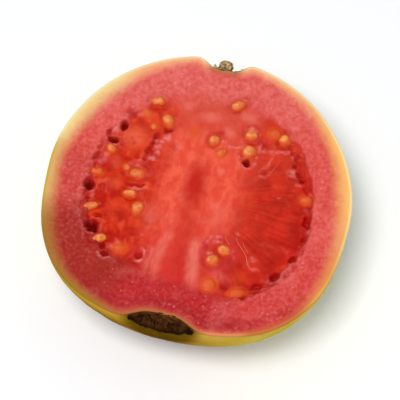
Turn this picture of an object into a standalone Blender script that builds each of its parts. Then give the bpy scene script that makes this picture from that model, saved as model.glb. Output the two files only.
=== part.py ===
"""Half of a ripe pink guava, cut from stem to calyx and lying on its skin with the cut face up.

Axes: +Z is up, +Y points to the stem and +X to the right of the cut face. The origin is on the surface
that the half lies on, under the middle of its box. Lengths are in metres. Bearings in the tables of seeds
and sockets are in degrees, anticlockwise from +X as seen from above.

The pieces are the fruit itself, which grew in one piece with its seeds, the woody stub left in the stem
cavity, and the dried calyx that lines the basin at the blossom end.
"""

import math
import random

import bmesh
import bpy
from mathutils import Euler, Matrix, Vector, noise

# The fruit, measured from its centre, which lies in the knife's plane. Its calyx end is squarer than its
# stem end: the shape passes from one to the other over a stretch given as shares of the way to the calyx.
HALF_WIDTH = 0.0406
HALF_DEPTH = 0.0396
STEM_REACH = 0.0402
CALYX_REACH = 0.0372
CALYX_END_SQUARENESS = 2.6
SHAPE_CHANGE = (-0.25, 0.75)
AXIS_OFFSET = -0.0014
RESTING_DEPTH = 0.0388
SKIN_LUMP = 0.0005
SKIN_LUMP_SIZE = 0.018

# The hollow that holds the stem, and the basin that holds the calyx.
CAVITY_RADIUS = 0.0056
CAVITY_DEPTH = 0.0034
BASIN_RADIUS = 0.0086
BASIN_DEPTH = 0.0034

# The cut face: firm flesh lies in the knife's plane, and the pulp sinks in two lobes beside the core.
PULP_RADIUS = 0.0298
PULP_EDGE = 0.0014
LOBE_DEPTH = 0.0012
CORE_HALF_WIDTH = 0.0105
RIPPLE = 0.0004
RIPPLE_SIZE = 0.0045

# Seeds, and the sockets that seeds fell out of, ring by ring. A size is length, width and height, and a
# rise is the middle's height over the pulp. Each one's size and tilt are drawn from a spread.
OUTER_RING = 0.0283
MIDDLE_RING = 0.0234
NEARER_RING = 0.0206
INNER_RING = 0.0174
CORE_RING = 0.0137
SEED_SIZE = (0.0038, 0.0030, 0.0028)
SEED_RISE = 0.0002
SEEDS = (
    (OUTER_RING, (-56, 12, 48, 55, 80, 125, 133, 162, 178, 199, 217)),
    (MIDDLE_RING, (-70, 64, 123, 133, 229)),
    (NEARER_RING, (169,)),
    (INNER_RING, (-65, -51, 57, 88, 170, 190, 205)),
    (CORE_RING, (76,)),
)
SOCKET_SIZE = (0.0040, 0.0034, 0.0052)
SOCKET_RISE = 0.0001
SOCKETS = (
    (OUTER_RING, (-45, -34, -21, 1, 18, 29, 38, 146, 155, 169, 185, 209, 226)),
    (MIDDLE_RING, (54, 239)),
    (INNER_RING, (-38, 46, 129, 140, 151)),
)
SIZE_SPREAD = 0.12
TILT_SPREAD = 0.35
RANDOM_SEED = 11

# The stem stub: a slim root in the flesh under the cut, then a rough knob that narrows to its tip.
FIT_GAP = 0.0003
STUB_DROP = 0.0023
STUB_ROOT_RADIUS = 0.0012
STUB_ROOT_LENGTH = 0.0018
STUB_KNOB_RADIUS = 0.0017
STUB_KNOB_LENGTH = 0.0033
STUB_FLARE = (-0.0004, 0.0008)
STUB_TAPER = 0.25
STUB_TAPER_FROM = 0.6
STUB_ROUGHNESS = 0.22
STUB_LUMP_SIZE = 0.0008
STUB_STATIONS = (-1.0, -0.5, -0.12, 0.12, 0.3, 0.55, 0.8, 1.0)
STUB_SIDES = 14

# The calyx: a disc that lines the basin, with sepals round it that differ in length and curl off the skin.
CALYX_RADIUS = 0.0072
CALYX_THICKNESS = 0.0008
SEPALS_ROUND = 5
SEPAL_LENGTH = 0.0020
SEPAL_BLUNTNESS = 0.7
SEPAL_SPREAD = 0.5
SEPAL_CURL = 0.0007
SEPAL_CURL_FROM = 0.55

# How finely the surfaces are divided.
BEARING_STEPS = 56
END_CROWDING = 0.4
TURN_STEPS = 26
PULP_RINGS = 11
FLESH_RINGS = 3
SEED_SEGMENTS = 10
SEED_RINGS = 6
CALYX_RINGS = 8
CALYX_STEPS = 30


def smooth(low, high, value):
    """Runs from 0 at low to 1 at high, with level ends."""
    share = min(1.0, max(0.0, (value - low) / (high - low)))
    return share * share * (3 - 2 * share)


def well(distance, radius):
    """A round hollow: 1 at its middle and 0 a little past its radius."""
    return math.exp(-((distance / radius) ** 4))


def skin_along(direction):
    """The skin's point in a direction from the fruit's centre. The direction is a unit vector."""
    along = direction.y
    calyx_share = smooth(*SHAPE_CHANGE, -along)
    reach = STEM_REACH + (CALYX_REACH - STEM_REACH) * calyx_share
    power = 2 + (CALYX_END_SQUARENESS - 2) * calyx_share
    sideways = math.hypot(direction.x / HALF_WIDTH, direction.z / HALF_DEPTH)
    radius = (abs(along / reach) ** power + sideways**power) ** (-1 / power)
    lump = noise.noise(direction * radius / SKIN_LUMP_SIZE)
    radius += SKIN_LUMP * lump * math.sqrt(1 - along * along)
    from_axis = math.hypot(direction.x * radius - AXIS_OFFSET, direction.z * radius)
    if along > 0:
        radius -= CAVITY_DEPTH * well(from_axis, CAVITY_RADIUS)
    else:
        radius -= BASIN_DEPTH * well(from_axis, BASIN_RADIUS)
    return direction * radius


def skin_point(bearing, turn):
    """The skin's point at a bearing from the stem (0) to the calyx (pi) and a turn round the fruit's
    length, which is pi on the left, 3/2 pi straight down and 2 pi on the right. Both are in radians."""
    across = math.sin(bearing)
    direction = Vector((across * math.cos(turn), math.cos(bearing), across * math.sin(turn)))
    point = skin_along(direction.normalized())
    if turn in (math.pi, 2 * math.pi):
        point.z = 0.0
    return point


def cut_relief(x, y):
    """Height of the cut face over the knife's plane."""
    radius = math.hypot(x, y)
    pulp = smooth(PULP_RADIUS + PULP_EDGE, PULP_RADIUS - PULP_EDGE, radius)
    core = math.exp(-((x / CORE_HALF_WIDTH) ** 2))
    ripple = noise.noise(Vector((x, y, 0)) / RIPPLE_SIZE)
    return pulp * (RIPPLE * ripple - LOBE_DEPTH * (1 - core))


def principled(name, colour, roughness):
    """A material of one colour."""
    made = bpy.data.materials.new(name)
    made.use_nodes = True
    shader = made.node_tree.nodes["Principled BSDF"]
    shader.inputs["Base Color"].default_value = (*colour, 1.0)
    shader.inputs["Roughness"].default_value = roughness
    shader.inputs["Metallic"].default_value = 0.0
    return made


def add_collection(name):
    """An empty collection in the scene."""
    collection = bpy.data.collections.new(name)
    bpy.context.scene.collection.children.link(collection)
    return collection


def mesh_object(name, bm, materials, collection):
    """Makes an object from a bmesh, with its faces turned outwards."""
    bmesh.ops.recalc_face_normals(bm, faces=bm.faces)
    mesh = bpy.data.meshes.new(name)
    bm.to_mesh(mesh)
    bm.free()
    for material in materials:
        mesh.materials.append(material)
    made = bpy.data.objects.new(name, mesh)
    collection.objects.link(made)
    return made


def apply_boolean(target, operation, collection):
    """Cuts a collection's objects from the target, or joins them to it, and removes them."""
    modifier = target.modifiers.new(operation.lower(), "BOOLEAN")
    modifier.operation = operation
    modifier.operand_type = "COLLECTION"
    modifier.collection = collection
    modifier.solver = "EXACT"
    modifier.material_mode = "TRANSFER"
    with bpy.context.temp_override(object=target, active_object=target):
        bpy.ops.object.modifier_apply(modifier=modifier.name)
    for item in list(collection.objects):
        bpy.data.objects.remove(item)
    bpy.data.collections.remove(collection)


def bearing_steps():
    """Bearings from the stem to the calyx, closer together at the two ends, where the hollows are."""
    steps = []
    for i in range(BEARING_STEPS + 1):
        share = i / BEARING_STEPS
        share -= END_CROWDING * math.sin(2 * math.pi * share) / (2 * math.pi)
        steps.append(math.pi * share)
    return steps


def add_face(bm, corners, material_index):
    """Adds a smooth face."""
    face = bm.faces.new(corners)
    face.material_index = material_index
    face.smooth = True


def add_skin(bm, material_index):
    """Adds the skin's faces and returns the loop of vertices round the cut, from the stem's end down the
    left side to the calyx's end and back up the right side."""
    bearings = bearing_steps()
    stem_end = bm.verts.new(skin_point(bearings[0], math.pi))
    calyx_end = bm.verts.new(skin_point(bearings[-1], math.pi))
    turns = [math.pi * (1 + j / TURN_STEPS) for j in range(TURN_STEPS + 1)]
    columns = [[bm.verts.new(skin_point(b, turn)) for b in bearings[1:-1]] for turn in turns]
    for left, right in zip(columns, columns[1:]):
        add_face(bm, (stem_end, left[0], right[0]), material_index)
        add_face(bm, (calyx_end, right[-1], left[-1]), material_index)
        for i in range(len(left) - 1):
            add_face(bm, (left[i], left[i + 1], right[i + 1], right[i]), material_index)
    return [stem_end, *columns[0], calyx_end, *reversed(columns[-1])]


def add_cut_face(bm, rim, flesh_index, pulp_index):
    """Fills the cut with rings: evenly spaced in the pulp, one each side of its edge, then out to the rim."""
    inner = PULP_RADIUS - PULP_EDGE
    radii = [inner * k / PULP_RINGS for k in range(1, PULP_RINGS + 1)]
    radii += [PULP_RADIUS, PULP_RADIUS + PULP_EDGE]
    rings = []
    for radius in radii:
        places = [vertex.co.normalized() * radius for vertex in rim]
        rings.append([bm.verts.new((p.x, p.y, cut_relief(p.x, p.y))) for p in places])
    pulp_border = rings[-1]
    for k in range(1, FLESH_RINGS):
        pairs = zip(pulp_border, rim)
        rings.append([bm.verts.new(near.co.lerp(far.co, k / FLESH_RINGS)) for near, far in pairs])
    rings.append(rim)
    middle = bm.verts.new((0, 0, cut_relief(0, 0)))
    for i in range(len(rim)):
        following = (i + 1) % len(rim)
        add_face(bm, (middle, rings[0][i], rings[0][following]), pulp_index)
        for k, (near, far) in enumerate(zip(rings, rings[1:])):
            index = pulp_index if k < PULP_RINGS else flesh_index
            add_face(bm, (near[i], far[i], far[following], near[following]), index)


def cut_resting_spot(bm):
    """Cuts the lowest part of the skin off level, which leaves the small flat spot that it rests on."""
    everything = [*bm.verts, *bm.edges, *bm.faces]
    bottom = Vector((0, 0, -RESTING_DEPTH))
    cut = bmesh.ops.bisect_plane(
        bm, geom=everything, plane_co=bottom, plane_no=(0, 0, -1), clear_outer=True
    )
    edges = [item for item in cut["geom_cut"] if isinstance(item, bmesh.types.BMEdge)]
    bmesh.ops.contextual_create(bm, geom=edges)


def ring_of_ellipsoids(name, rings, size, rise, material, chance):
    """A collection of eggs set round rings in the cut face, each with its length towards the core."""
    collection = add_collection(name)
    for radius, bearings in rings:
        for bearing in bearings:
            around = math.radians(bearing)
            x = radius * math.cos(around)
            y = radius * math.sin(around)
            place = Vector((x, y, cut_relief(x, y) + rise))
            own_size = [length * (1 + chance.uniform(-SIZE_SPREAD, SIZE_SPREAD)) for length in size]
            pitch = chance.uniform(-TILT_SPREAD, TILT_SPREAD)
            yaw = around + chance.uniform(-TILT_SPREAD, TILT_SPREAD)
            bm = bmesh.new()
            bmesh.ops.create_uvsphere(bm, u_segments=SEED_SEGMENTS, v_segments=SEED_RINGS, radius=0.5)
            for face in bm.faces:
                face.smooth = True
            shape = Matrix.LocRotScale(place, Euler((0, pitch, yaw)), Vector(own_size))
            bmesh.ops.transform(bm, matrix=shape, verts=bm.verts)
            mesh_object(f"{name}_{bearing}", bm, [material], collection)
    return collection


def stub_radius(along, around):
    """The stub's radius at a distance from the skin and a turn round the stub, in radians."""
    knob = smooth(*STUB_FLARE, along)
    radius = STUB_ROOT_RADIUS + (STUB_KNOB_RADIUS - STUB_ROOT_RADIUS) * knob
    radius *= 1 - STUB_TAPER * smooth(STUB_TAPER_FROM * STUB_KNOB_LENGTH, STUB_KNOB_LENGTH, along)
    spot = Vector((math.cos(around), math.sin(around), along / STUB_KNOB_RADIUS))
    lump = noise.noise(spot * STUB_KNOB_RADIUS / STUB_LUMP_SIZE)
    return radius * (1 + STUB_ROUGHNESS * knob * lump)


def stub_shape(grown):
    """The stem stub, pointing along +Y from its root in the flesh, and grown by a gap all round."""
    bm = bmesh.new()
    skin = skin_along(Vector((AXIS_OFFSET, STEM_REACH, -STUB_DROP)).normalized())
    foot = Vector((AXIS_OFFSET, skin.y, -STUB_DROP))
    rings = []
    for station in STUB_STATIONS:
        along = station * (STUB_ROOT_LENGTH if station < 0 else STUB_KNOB_LENGTH)
        end_gap = grown if station == STUB_STATIONS[-1] else -grown if station == STUB_STATIONS[0] else 0
        ring = []
        for i in range(STUB_SIDES):
            around = 2 * math.pi * i / STUB_SIDES
            radius = stub_radius(along, around) + grown
            offset = Vector((radius * math.cos(around), along + end_gap, radius * math.sin(around)))
            ring.append(bm.verts.new(foot + offset))
        rings.append(ring)
    for near, far in zip(rings, rings[1:]):
        for i in range(STUB_SIDES):
            following = (i + 1) % STUB_SIDES
            add_face(bm, (near[i], near[following], far[following], far[i]), 0)
    bm.faces.new(rings[0])
    bm.faces.new(rings[-1])
    return bm


def sepal_share(around):
    """How far a sepal reaches at a turn round the calyx: 1 at the tip of an average one."""
    share = abs(math.cos(SEPALS_ROUND * around / 2)) ** SEPAL_BLUNTNESS
    spot = Vector((math.cos(around), math.sin(around), 0)) * SEPALS_ROUND
    return share * (1 + SEPAL_SPREAD * noise.noise(spot))


def calyx_point(share, turn_share, height):
    """A point of the calyx at a height over its back. The share runs from its middle to its outline, and
    the turn's share from the left end of the cut, underneath, to the right end."""
    around = math.pi * (1 + turn_share)
    sepal = sepal_share(around)
    reach = (CALYX_RADIUS + SEPAL_LENGTH * sepal) * share
    x = AXIS_OFFSET + reach * math.cos(around)
    z = reach * math.sin(around) if 0 < turn_share < 1 else 0.0
    skin = skin_along(Vector((x, -CALYX_REACH, z)).normalized())
    lift = FIT_GAP + SEPAL_CURL * sepal * smooth(SEPAL_CURL_FROM, 1.0, share) + height
    return skin * (1 + lift / skin.length)


def make_calyx(material):
    """The calyx, cut through the middle of its disc by the knife."""
    bm = bmesh.new()
    outlines = []
    for height in (0.0, CALYX_THICKNESS):
        middle = bm.verts.new(calyx_point(0.0, 0.0, height))
        rows = []
        for k in range(1, CALYX_RINGS + 1):
            shares = [j / CALYX_STEPS for j in range(CALYX_STEPS + 1)]
            rows.append([bm.verts.new(calyx_point(k / CALYX_RINGS, s, height)) for s in shares])
        for j in range(CALYX_STEPS):
            add_face(bm, (middle, rows[0][j], rows[0][j + 1]), 0)
            for near, far in zip(rows, rows[1:]):
                add_face(bm, (near[j], far[j], far[j + 1], near[j + 1]), 0)
        left_edge = [row[0] for row in rows[:-1]]
        right_edge = [row[-1] for row in reversed(rows[:-1])]
        outlines.append([middle, *left_edge, *rows[-1], *right_edge])
    back, front = outlines
    for i in range(len(back)):
        following = (i + 1) % len(back)
        bm.faces.new((back[i], back[following], front[following], front[i]))
    return mesh_object("calyx", bm, [material], bpy.context.scene.collection)


def make_stub(material):
    """The stem stub."""
    return mesh_object("stem_stub", stub_shape(0.0), [material], bpy.context.scene.collection)


def make_fruit(skin, flesh, pulp, seed):
    """The half fruit, with its sockets cut, its seeds joined on and a hole for the stem stub's root."""
    bm = bmesh.new()
    rim = add_skin(bm, 0)
    add_cut_face(bm, rim, 1, 2)
    cut_resting_spot(bm)
    bmesh.ops.triangulate(bm, faces=bm.faces)
    fruit = mesh_object("fruit_half", bm, [skin, flesh, pulp, seed], bpy.context.scene.collection)
    chance = random.Random(RANDOM_SEED)
    sockets = ring_of_ellipsoids("socket", SOCKETS, SOCKET_SIZE, SOCKET_RISE, pulp, chance)
    apply_boolean(fruit, "DIFFERENCE", sockets)
    seeds = ring_of_ellipsoids("seed", SEEDS, SEED_SIZE, SEED_RISE, seed, chance)
    apply_boolean(fruit, "UNION", seeds)
    holes = add_collection("stub_hole")
    mesh_object("stub_hole", stub_shape(FIT_GAP), [flesh], holes)
    apply_boolean(fruit, "DIFFERENCE", holes)
    return fruit


def middle_of(objects):
    """The middle of the objects' box, across and along."""
    corners = [vertex.co for made in objects for vertex in made.data.vertices]
    xs = [corner.x for corner in corners]
    ys = [corner.y for corner in corners]
    return (min(xs) + max(xs)) / 2, (min(ys) + max(ys)) / 2


def main():
    for old in list(bpy.data.objects):
        bpy.data.objects.remove(old)
    skin = principled("skin", (0.72, 0.66, 0.16), 0.45)
    flesh = principled("flesh", (0.72, 0.12, 0.12), 0.40)
    pulp = principled("pulp", (0.68, 0.05, 0.03), 0.25)
    seed = principled("seed", (0.80, 0.45, 0.12), 0.35)
    wood = principled("wood", (0.20, 0.11, 0.04), 0.80)
    dried = principled("dried_calyx", (0.05, 0.02, 0.01), 0.90)
    pieces = [make_fruit(skin, flesh, pulp, seed), make_stub(wood), make_calyx(dried)]
    across, along = middle_of(pieces)
    centre = bpy.data.objects.new("guava_centre", None)
    centre.location = (-across, -along, RESTING_DEPTH)
    bpy.context.scene.collection.objects.link(centre)
    for piece in pieces:
        piece.parent = centre


main()
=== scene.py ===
"""The looks of a guava half that lies on its skin with the cut face up.

The cut face is one sheet of flesh with the pulp, the core, the hollows and the fibres' ridges worked into
it. The skin is a thin shell round it. Seeds, fibres, the stem stub and the calyx are pieces of their own.

Lengths in the tables and the shape functions are in millimetres from the fruit's centre, which lies in the
knife's plane, with +Y towards the stem. Lengths in the panel and in Blender are in metres.
"""

import math
import random

import bmesh
import bpy
import numpy as np
from mathutils import Matrix, Vector, noise
from mathutils.kdtree import KDTree


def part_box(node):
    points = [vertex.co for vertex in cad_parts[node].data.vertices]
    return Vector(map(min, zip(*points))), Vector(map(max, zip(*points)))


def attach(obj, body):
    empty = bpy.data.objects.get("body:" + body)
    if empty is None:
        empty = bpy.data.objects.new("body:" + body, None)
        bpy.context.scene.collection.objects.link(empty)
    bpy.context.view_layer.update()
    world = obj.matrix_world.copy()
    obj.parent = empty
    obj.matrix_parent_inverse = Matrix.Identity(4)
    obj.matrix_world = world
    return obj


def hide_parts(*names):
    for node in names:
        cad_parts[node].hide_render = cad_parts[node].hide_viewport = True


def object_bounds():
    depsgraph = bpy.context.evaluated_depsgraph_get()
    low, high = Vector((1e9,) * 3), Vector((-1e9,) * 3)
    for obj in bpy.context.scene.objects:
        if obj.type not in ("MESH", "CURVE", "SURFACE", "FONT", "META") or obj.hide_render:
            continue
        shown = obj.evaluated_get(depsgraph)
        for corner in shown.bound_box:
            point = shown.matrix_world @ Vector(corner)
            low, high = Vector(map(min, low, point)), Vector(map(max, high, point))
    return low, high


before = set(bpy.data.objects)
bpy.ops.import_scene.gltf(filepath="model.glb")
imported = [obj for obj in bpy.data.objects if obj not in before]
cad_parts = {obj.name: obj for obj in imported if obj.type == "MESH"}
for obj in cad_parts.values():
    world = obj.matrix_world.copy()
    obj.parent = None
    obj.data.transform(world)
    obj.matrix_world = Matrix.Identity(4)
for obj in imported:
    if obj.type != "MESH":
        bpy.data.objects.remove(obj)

bl_info = {
    "name": "Guava Half",
    "version": (1, 0, 0),
    "blender": (4, 5, 0),
    "location": "3D View > Sidebar > Guava",
    "description": "Models the flesh, seeds, skin, stem stub and calyx of a cut guava round its solid parts",
    "category": "Object",
}

MM = 0.001
CAD_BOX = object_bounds()

# The fruit's outside: its reaches from the centre, how square the calyx's end is and along which part of the
# axis the shape changes to it, how far the axis lies off the centre, how deep the fruit rests, and its lumps
# and dips.
HALF_WIDTH = 40.6
HALF_DEPTH = 39.6
STEM_REACH = 40.2
CALYX_REACH = 37.2
CALYX_END_SQUARENESS = 2.6
SHAPE_CHANGE = (-0.25, 0.75)
AXIS_OFFSET = -1.4
RESTING_DEPTH = 38.8
SKIN_LUMP = 0.5
SKIN_LUMP_SIZE = 18.0
CAVITY_RADIUS = 5.6
CAVITY_DEPTH = 3.4
BASIN_RADIUS = 8.6
BASIN_DEPTH = 3.4

# The pulp: its outline's radius, how far it draws in at the stem's and the calyx's end of the core, how deep
# its lobes lie beside the core, and its ripples. A bearing is in degrees, anticlockwise from +X as seen from
# above.
PULP_RADIUS = 30.2
STEM_END = {"bearing": 94, "spread": 30, "draws_in": 1.8}
CALYX_END = {"bearing": 262, "spread": 33, "draws_in": 4.8}
LOBE_DEPTH = 1.2
CORE_HALF_WIDTH = 10.5
RIPPLE = 0.4
RIPPLE_SIZE = 4.5

# Seeds: x, y, length, width, turn in degrees, and how much pulp veils them. Under 0 they lie on top.
SEEDS = (
    (-16.7, 24.1, 3.7, 2.6, 13, 0.15),
    (-12.7, 19.3, 3.8, 3.1, -47, 0.0),
    (-16.0, 17.0, 2.2, 2.0, 0, 0.6),
    (-18.5, 20.1, 2.8, 2.4, 20, 0.95),
    (-25.7, 8.3, 3.1, 2.4, -37, 0.3),
    (-17.0, 2.9, 4.1, 3.2, 4, 0.0),
    (-20.2, 4.0, 2.2, 2.0, 0, 0.6),
    (-27.8, 1.0, 3.6, 2.2, 4, 0.5),
    (-17.7, -3.2, 3.7, 2.4, 8, 0.0),
    (-27.1, -8.9, 4.2, 2.1, 28, -0.5),
    (-14.7, -6.9, 4.0, 3.1, 84, 0.35),
    (-22.7, -17.2, 4.1, 2.2, 28, -0.9),
    (-16.5, -18.6, 3.3, 3.0, 0, 1.1),
    (4.8, 27.7, 3.8, 2.8, 34, 0.0),
    (9.9, 20.2, 3.5, 3.2, 0, 0.0),
    (10.4, 15.6, 3.8, 3.5, 60, 0.0),
    (0.8, 16.3, 3.2, 2.9, 30, 0.0),
    (3.3, 13.3, 3.2, 2.4, 44, 0.75),
    (15.9, 22.2, 3.5, 3.2, 0, 1.05),
    (18.9, 21.1, 3.3, 3.0, 0, 0.0),
    (28.0, 5.9, 3.4, 2.8, 0, 0.9),
    (10.1, -12.7, 3.7, 3.0, -11, 0.0),
    (7.8, -16.4, 3.6, 3.4, 0, 0.0),
    (8.5, -23.2, 4.0, 3.6, 80, 0.95),
    (15.9, -23.6, 4.4, 2.8, 20, 1.1),
)

# Hollows in the pulp: x, y, length, width, turn in degrees, depth.
HOLLOWS = (
    (-23.7, 15.3, 3.2, 1.9, 95, 3.0),
    (-22.6, 19.2, 2.6, 2.2, 0, 1.0),
    (-27.1, 12.3, 3.0, 1.4, 100, 1.8),
    (-25.7, 10.9, 3.0, 2.0, 0, 3.2),
    (-29.0, 4.9, 3.4, 1.5, 65, 1.6),
    (-28.9, -3.0, 3.5, 3.3, 90, 3.4),
    (-27.1, -12.2, 1.9, 1.5, 0, 1.3),
    (-24.3, -11.0, 2.8, 1.5, -10, 1.2),
    (-25.3, -14.3, 4.2, 3.6, -20, 4.2),
    (-21.2, -19.1, 2.8, 1.8, -55, 1.6),
    (-20.0, -21.3, 2.3, 1.2, 0, 2.0),
    (-11.1, -19.3, 2.6, 2.4, 0, 1.3),
    (-12.1, 16.8, 2.8, 1.3, 5, 1.8),
    (10.3, 12.5, 2.5, 2.3, 90, 3.0),
    (13.9, 19.0, 3.0, 2.4, 0, 0.7),
    (22.9, 17.2, 3.2, 1.4, 95, 1.1),
    (23.1, 14.5, 1.9, 1.4, 100, 1.2),
    (24.6, 12.5, 2.0, 1.5, 120, 1.4),
    (25.7, 11.0, 1.8, 1.2, 120, 1.5),
    (27.1, 9.1, 1.9, 1.3, 110, 0.9),
    (27.9, 7.5, 1.7, 1.1, 150, 1.2),
    (29.1, 0.3, 3.4, 1.5, 88, 1.9),
    (29.8, -5.3, 2.8, 1.2, 90, 1.0),
    (28.3, -11.2, 2.5, 2.2, 60, 2.0),
    (24.8, -17.0, 3.1, 2.4, 60, 2.3),
    (20.6, -20.7, 3.8, 1.4, 28, 1.5),
    (12.5, -22.6, 2.4, 2.2, 60, 0.8),
    (8.8, -14.0, 8.4, 8.0, 30, 0.9),
)

# Crevices that wind between lumps of pulp: half width, depth, then the points that they pass through.
CREVICES = (
    (0.6, 1.1, ((-11.6, 17.0), (-13.6, 15.9), (-14.7, 14.2), (-15.3, 11.8), (-15.9, 9.6), (-16.3, 7.0))),
    (0.4, 0.9, ((-18.4, -0.7), (-16.4, -0.3), (-14.6, 0.0))),
    (0.7, 1.0, ((-26.8, 13.6), (-28.4, 8.2), (-29.2, 2.4), (-29.4, -5.0), (-28.2, -11.0), (-25.6, -17.0))),
    (0.7, 0.9, ((20.2, 20.0), (23.6, 16.6), (27.0, 11.0), (29.6, 4.0), (30.6, -3.5), (30.2, -9.0))),
    (0.8, 1.1, ((29.4, -12.6), (26.6, -17.0), (22.2, -21.0), (17.4, -24.8))),
)

# Lumps of pulp: x, y, radius, height.
LUMPS = (
    (-20.2, 12.4, 5.6, 1.1),
    (-23.4, 4.6, 3.6, 0.5),
    (-20.6, -9.4, 5.0, 0.15),
    (-22.4, -1.6, 3.4, 0.5),
)

# Deep red and painted shade between the lumps and along the crevices: x, y, length, width, turn in degrees,
# strength.
DEEP_RED_AND_SHADE_PATCHES = (
    (-22.8, 19.2, 3.2, 2.6, 10, 0.7),
    (-14.6, 14.6, 2.6, 1.5, 60, 1.0),
    (-15.2, 12.0, 2.2, 1.3, 80, 0.7),
    (-15.6, 9.6, 3.0, 1.5, 15, 1.0),
    (-16.2, 7.0, 1.8, 2.0, 0, 0.9),
    (-18.4, 4.9, 3.6, 1.1, -10, 0.7),
    (-14.6, 4.4, 1.6, 2.8, 30, 0.7),
    (-16.6, -0.4, 4.6, 1.0, 5, 1.0),
    (-14.4, 23.4, 3.8, 2.4, 70, 0.5),
    (-17.2, 22.0, 4.2, 1.7, 0, 0.6),
    (-24.0, -10.9, 3.4, 1.8, -10, 0.9),
    (-27.2, -12.2, 2.2, 2.0, 0, 0.8),
    (-21.2, -19.0, 3.2, 2.2, -55, 1.0),
    (-20.0, -21.3, 2.8, 1.5, 0, 1.0),
    (-18.6, -9.2, 6.0, 4.4, 0, 0.5),
    (-15.4, -13.2, 5.4, 3.4, -10, 0.35),
    (23.0, 17.2, 1.9, 3.6, 0, 0.8),
    (23.2, 14.5, 1.8, 2.4, 0, 0.8),
    (24.7, 12.5, 2.2, 2.0, 0, 0.8),
    (25.8, 11.0, 1.9, 1.5, 0, 0.9),
    (27.2, 9.0, 2.2, 1.9, 0, 0.7),
    (22.4, 0.3, 4.0, 1.8, 20, 0.45),
    (29.8, -5.2, 1.7, 3.8, 0, 0.8),
    (24.4, -7.4, 6.0, 3.6, 0, 0.45),
    (27.0, -3.6, 3.0, 5.4, 0, 0.4),
    (26.4, 2.8, 3.4, 3.0, 0, 0.3),
    (22.6, -13.4, 7.0, 3.0, 30, 0.35),
    (19.0, -17.6, 5.4, 2.6, 20, 0.4),
    (12.4, -18.2, 3.2, 2.6, 0, 0.4),
    (19.6, 12.6, 3.6, 2.2, -30, 0.3),
    (20.4, -20.6, 5.0, 2.0, 30, 0.9),
    (17.6, -22.4, 2.0, 1.6, 0, 0.7),
    (12.6, -22.6, 2.6, 3.0, 0, 0.8),
    (15.9, 10.8, 2.8, 1.0, 20, 0.7),
    (10.4, 17.8, 4.2, 0.9, 5, 1.0),
    (12.4, 19.4, 1.6, 2.8, -20, 0.7),
    (7.6, 20.4, 1.3, 4.2, 0, 0.5),
    (1.4, 18.7, 3.4, 1.7, 10, 0.6),
    (4.7, 25.8, 3.0, 1.0, 20, 0.7),
    (6.8, 28.0, 1.3, 2.4, 0, 0.5),
    (19.4, 18.9, 3.6, 1.5, 10, 0.8),
    (17.2, 19.6, 1.3, 3.4, 0, 0.7),
    (12.4, -15.4, 2.2, 4.4, 10, 0.8),
    (8.8, -14.0, 7.0, 7.0, 0, 0.4),
    (13.8, 18.6, 2.2, 2.4, 0, 0.6),
    (5.4, -13.2, 1.6, 2.6, 0, 0.6),
    (9.6, -10.6, 4.0, 1.2, -10, 0.7),
    (-9.6, 8.0, 1.4, 5.0, 20, 0.2),
)
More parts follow.
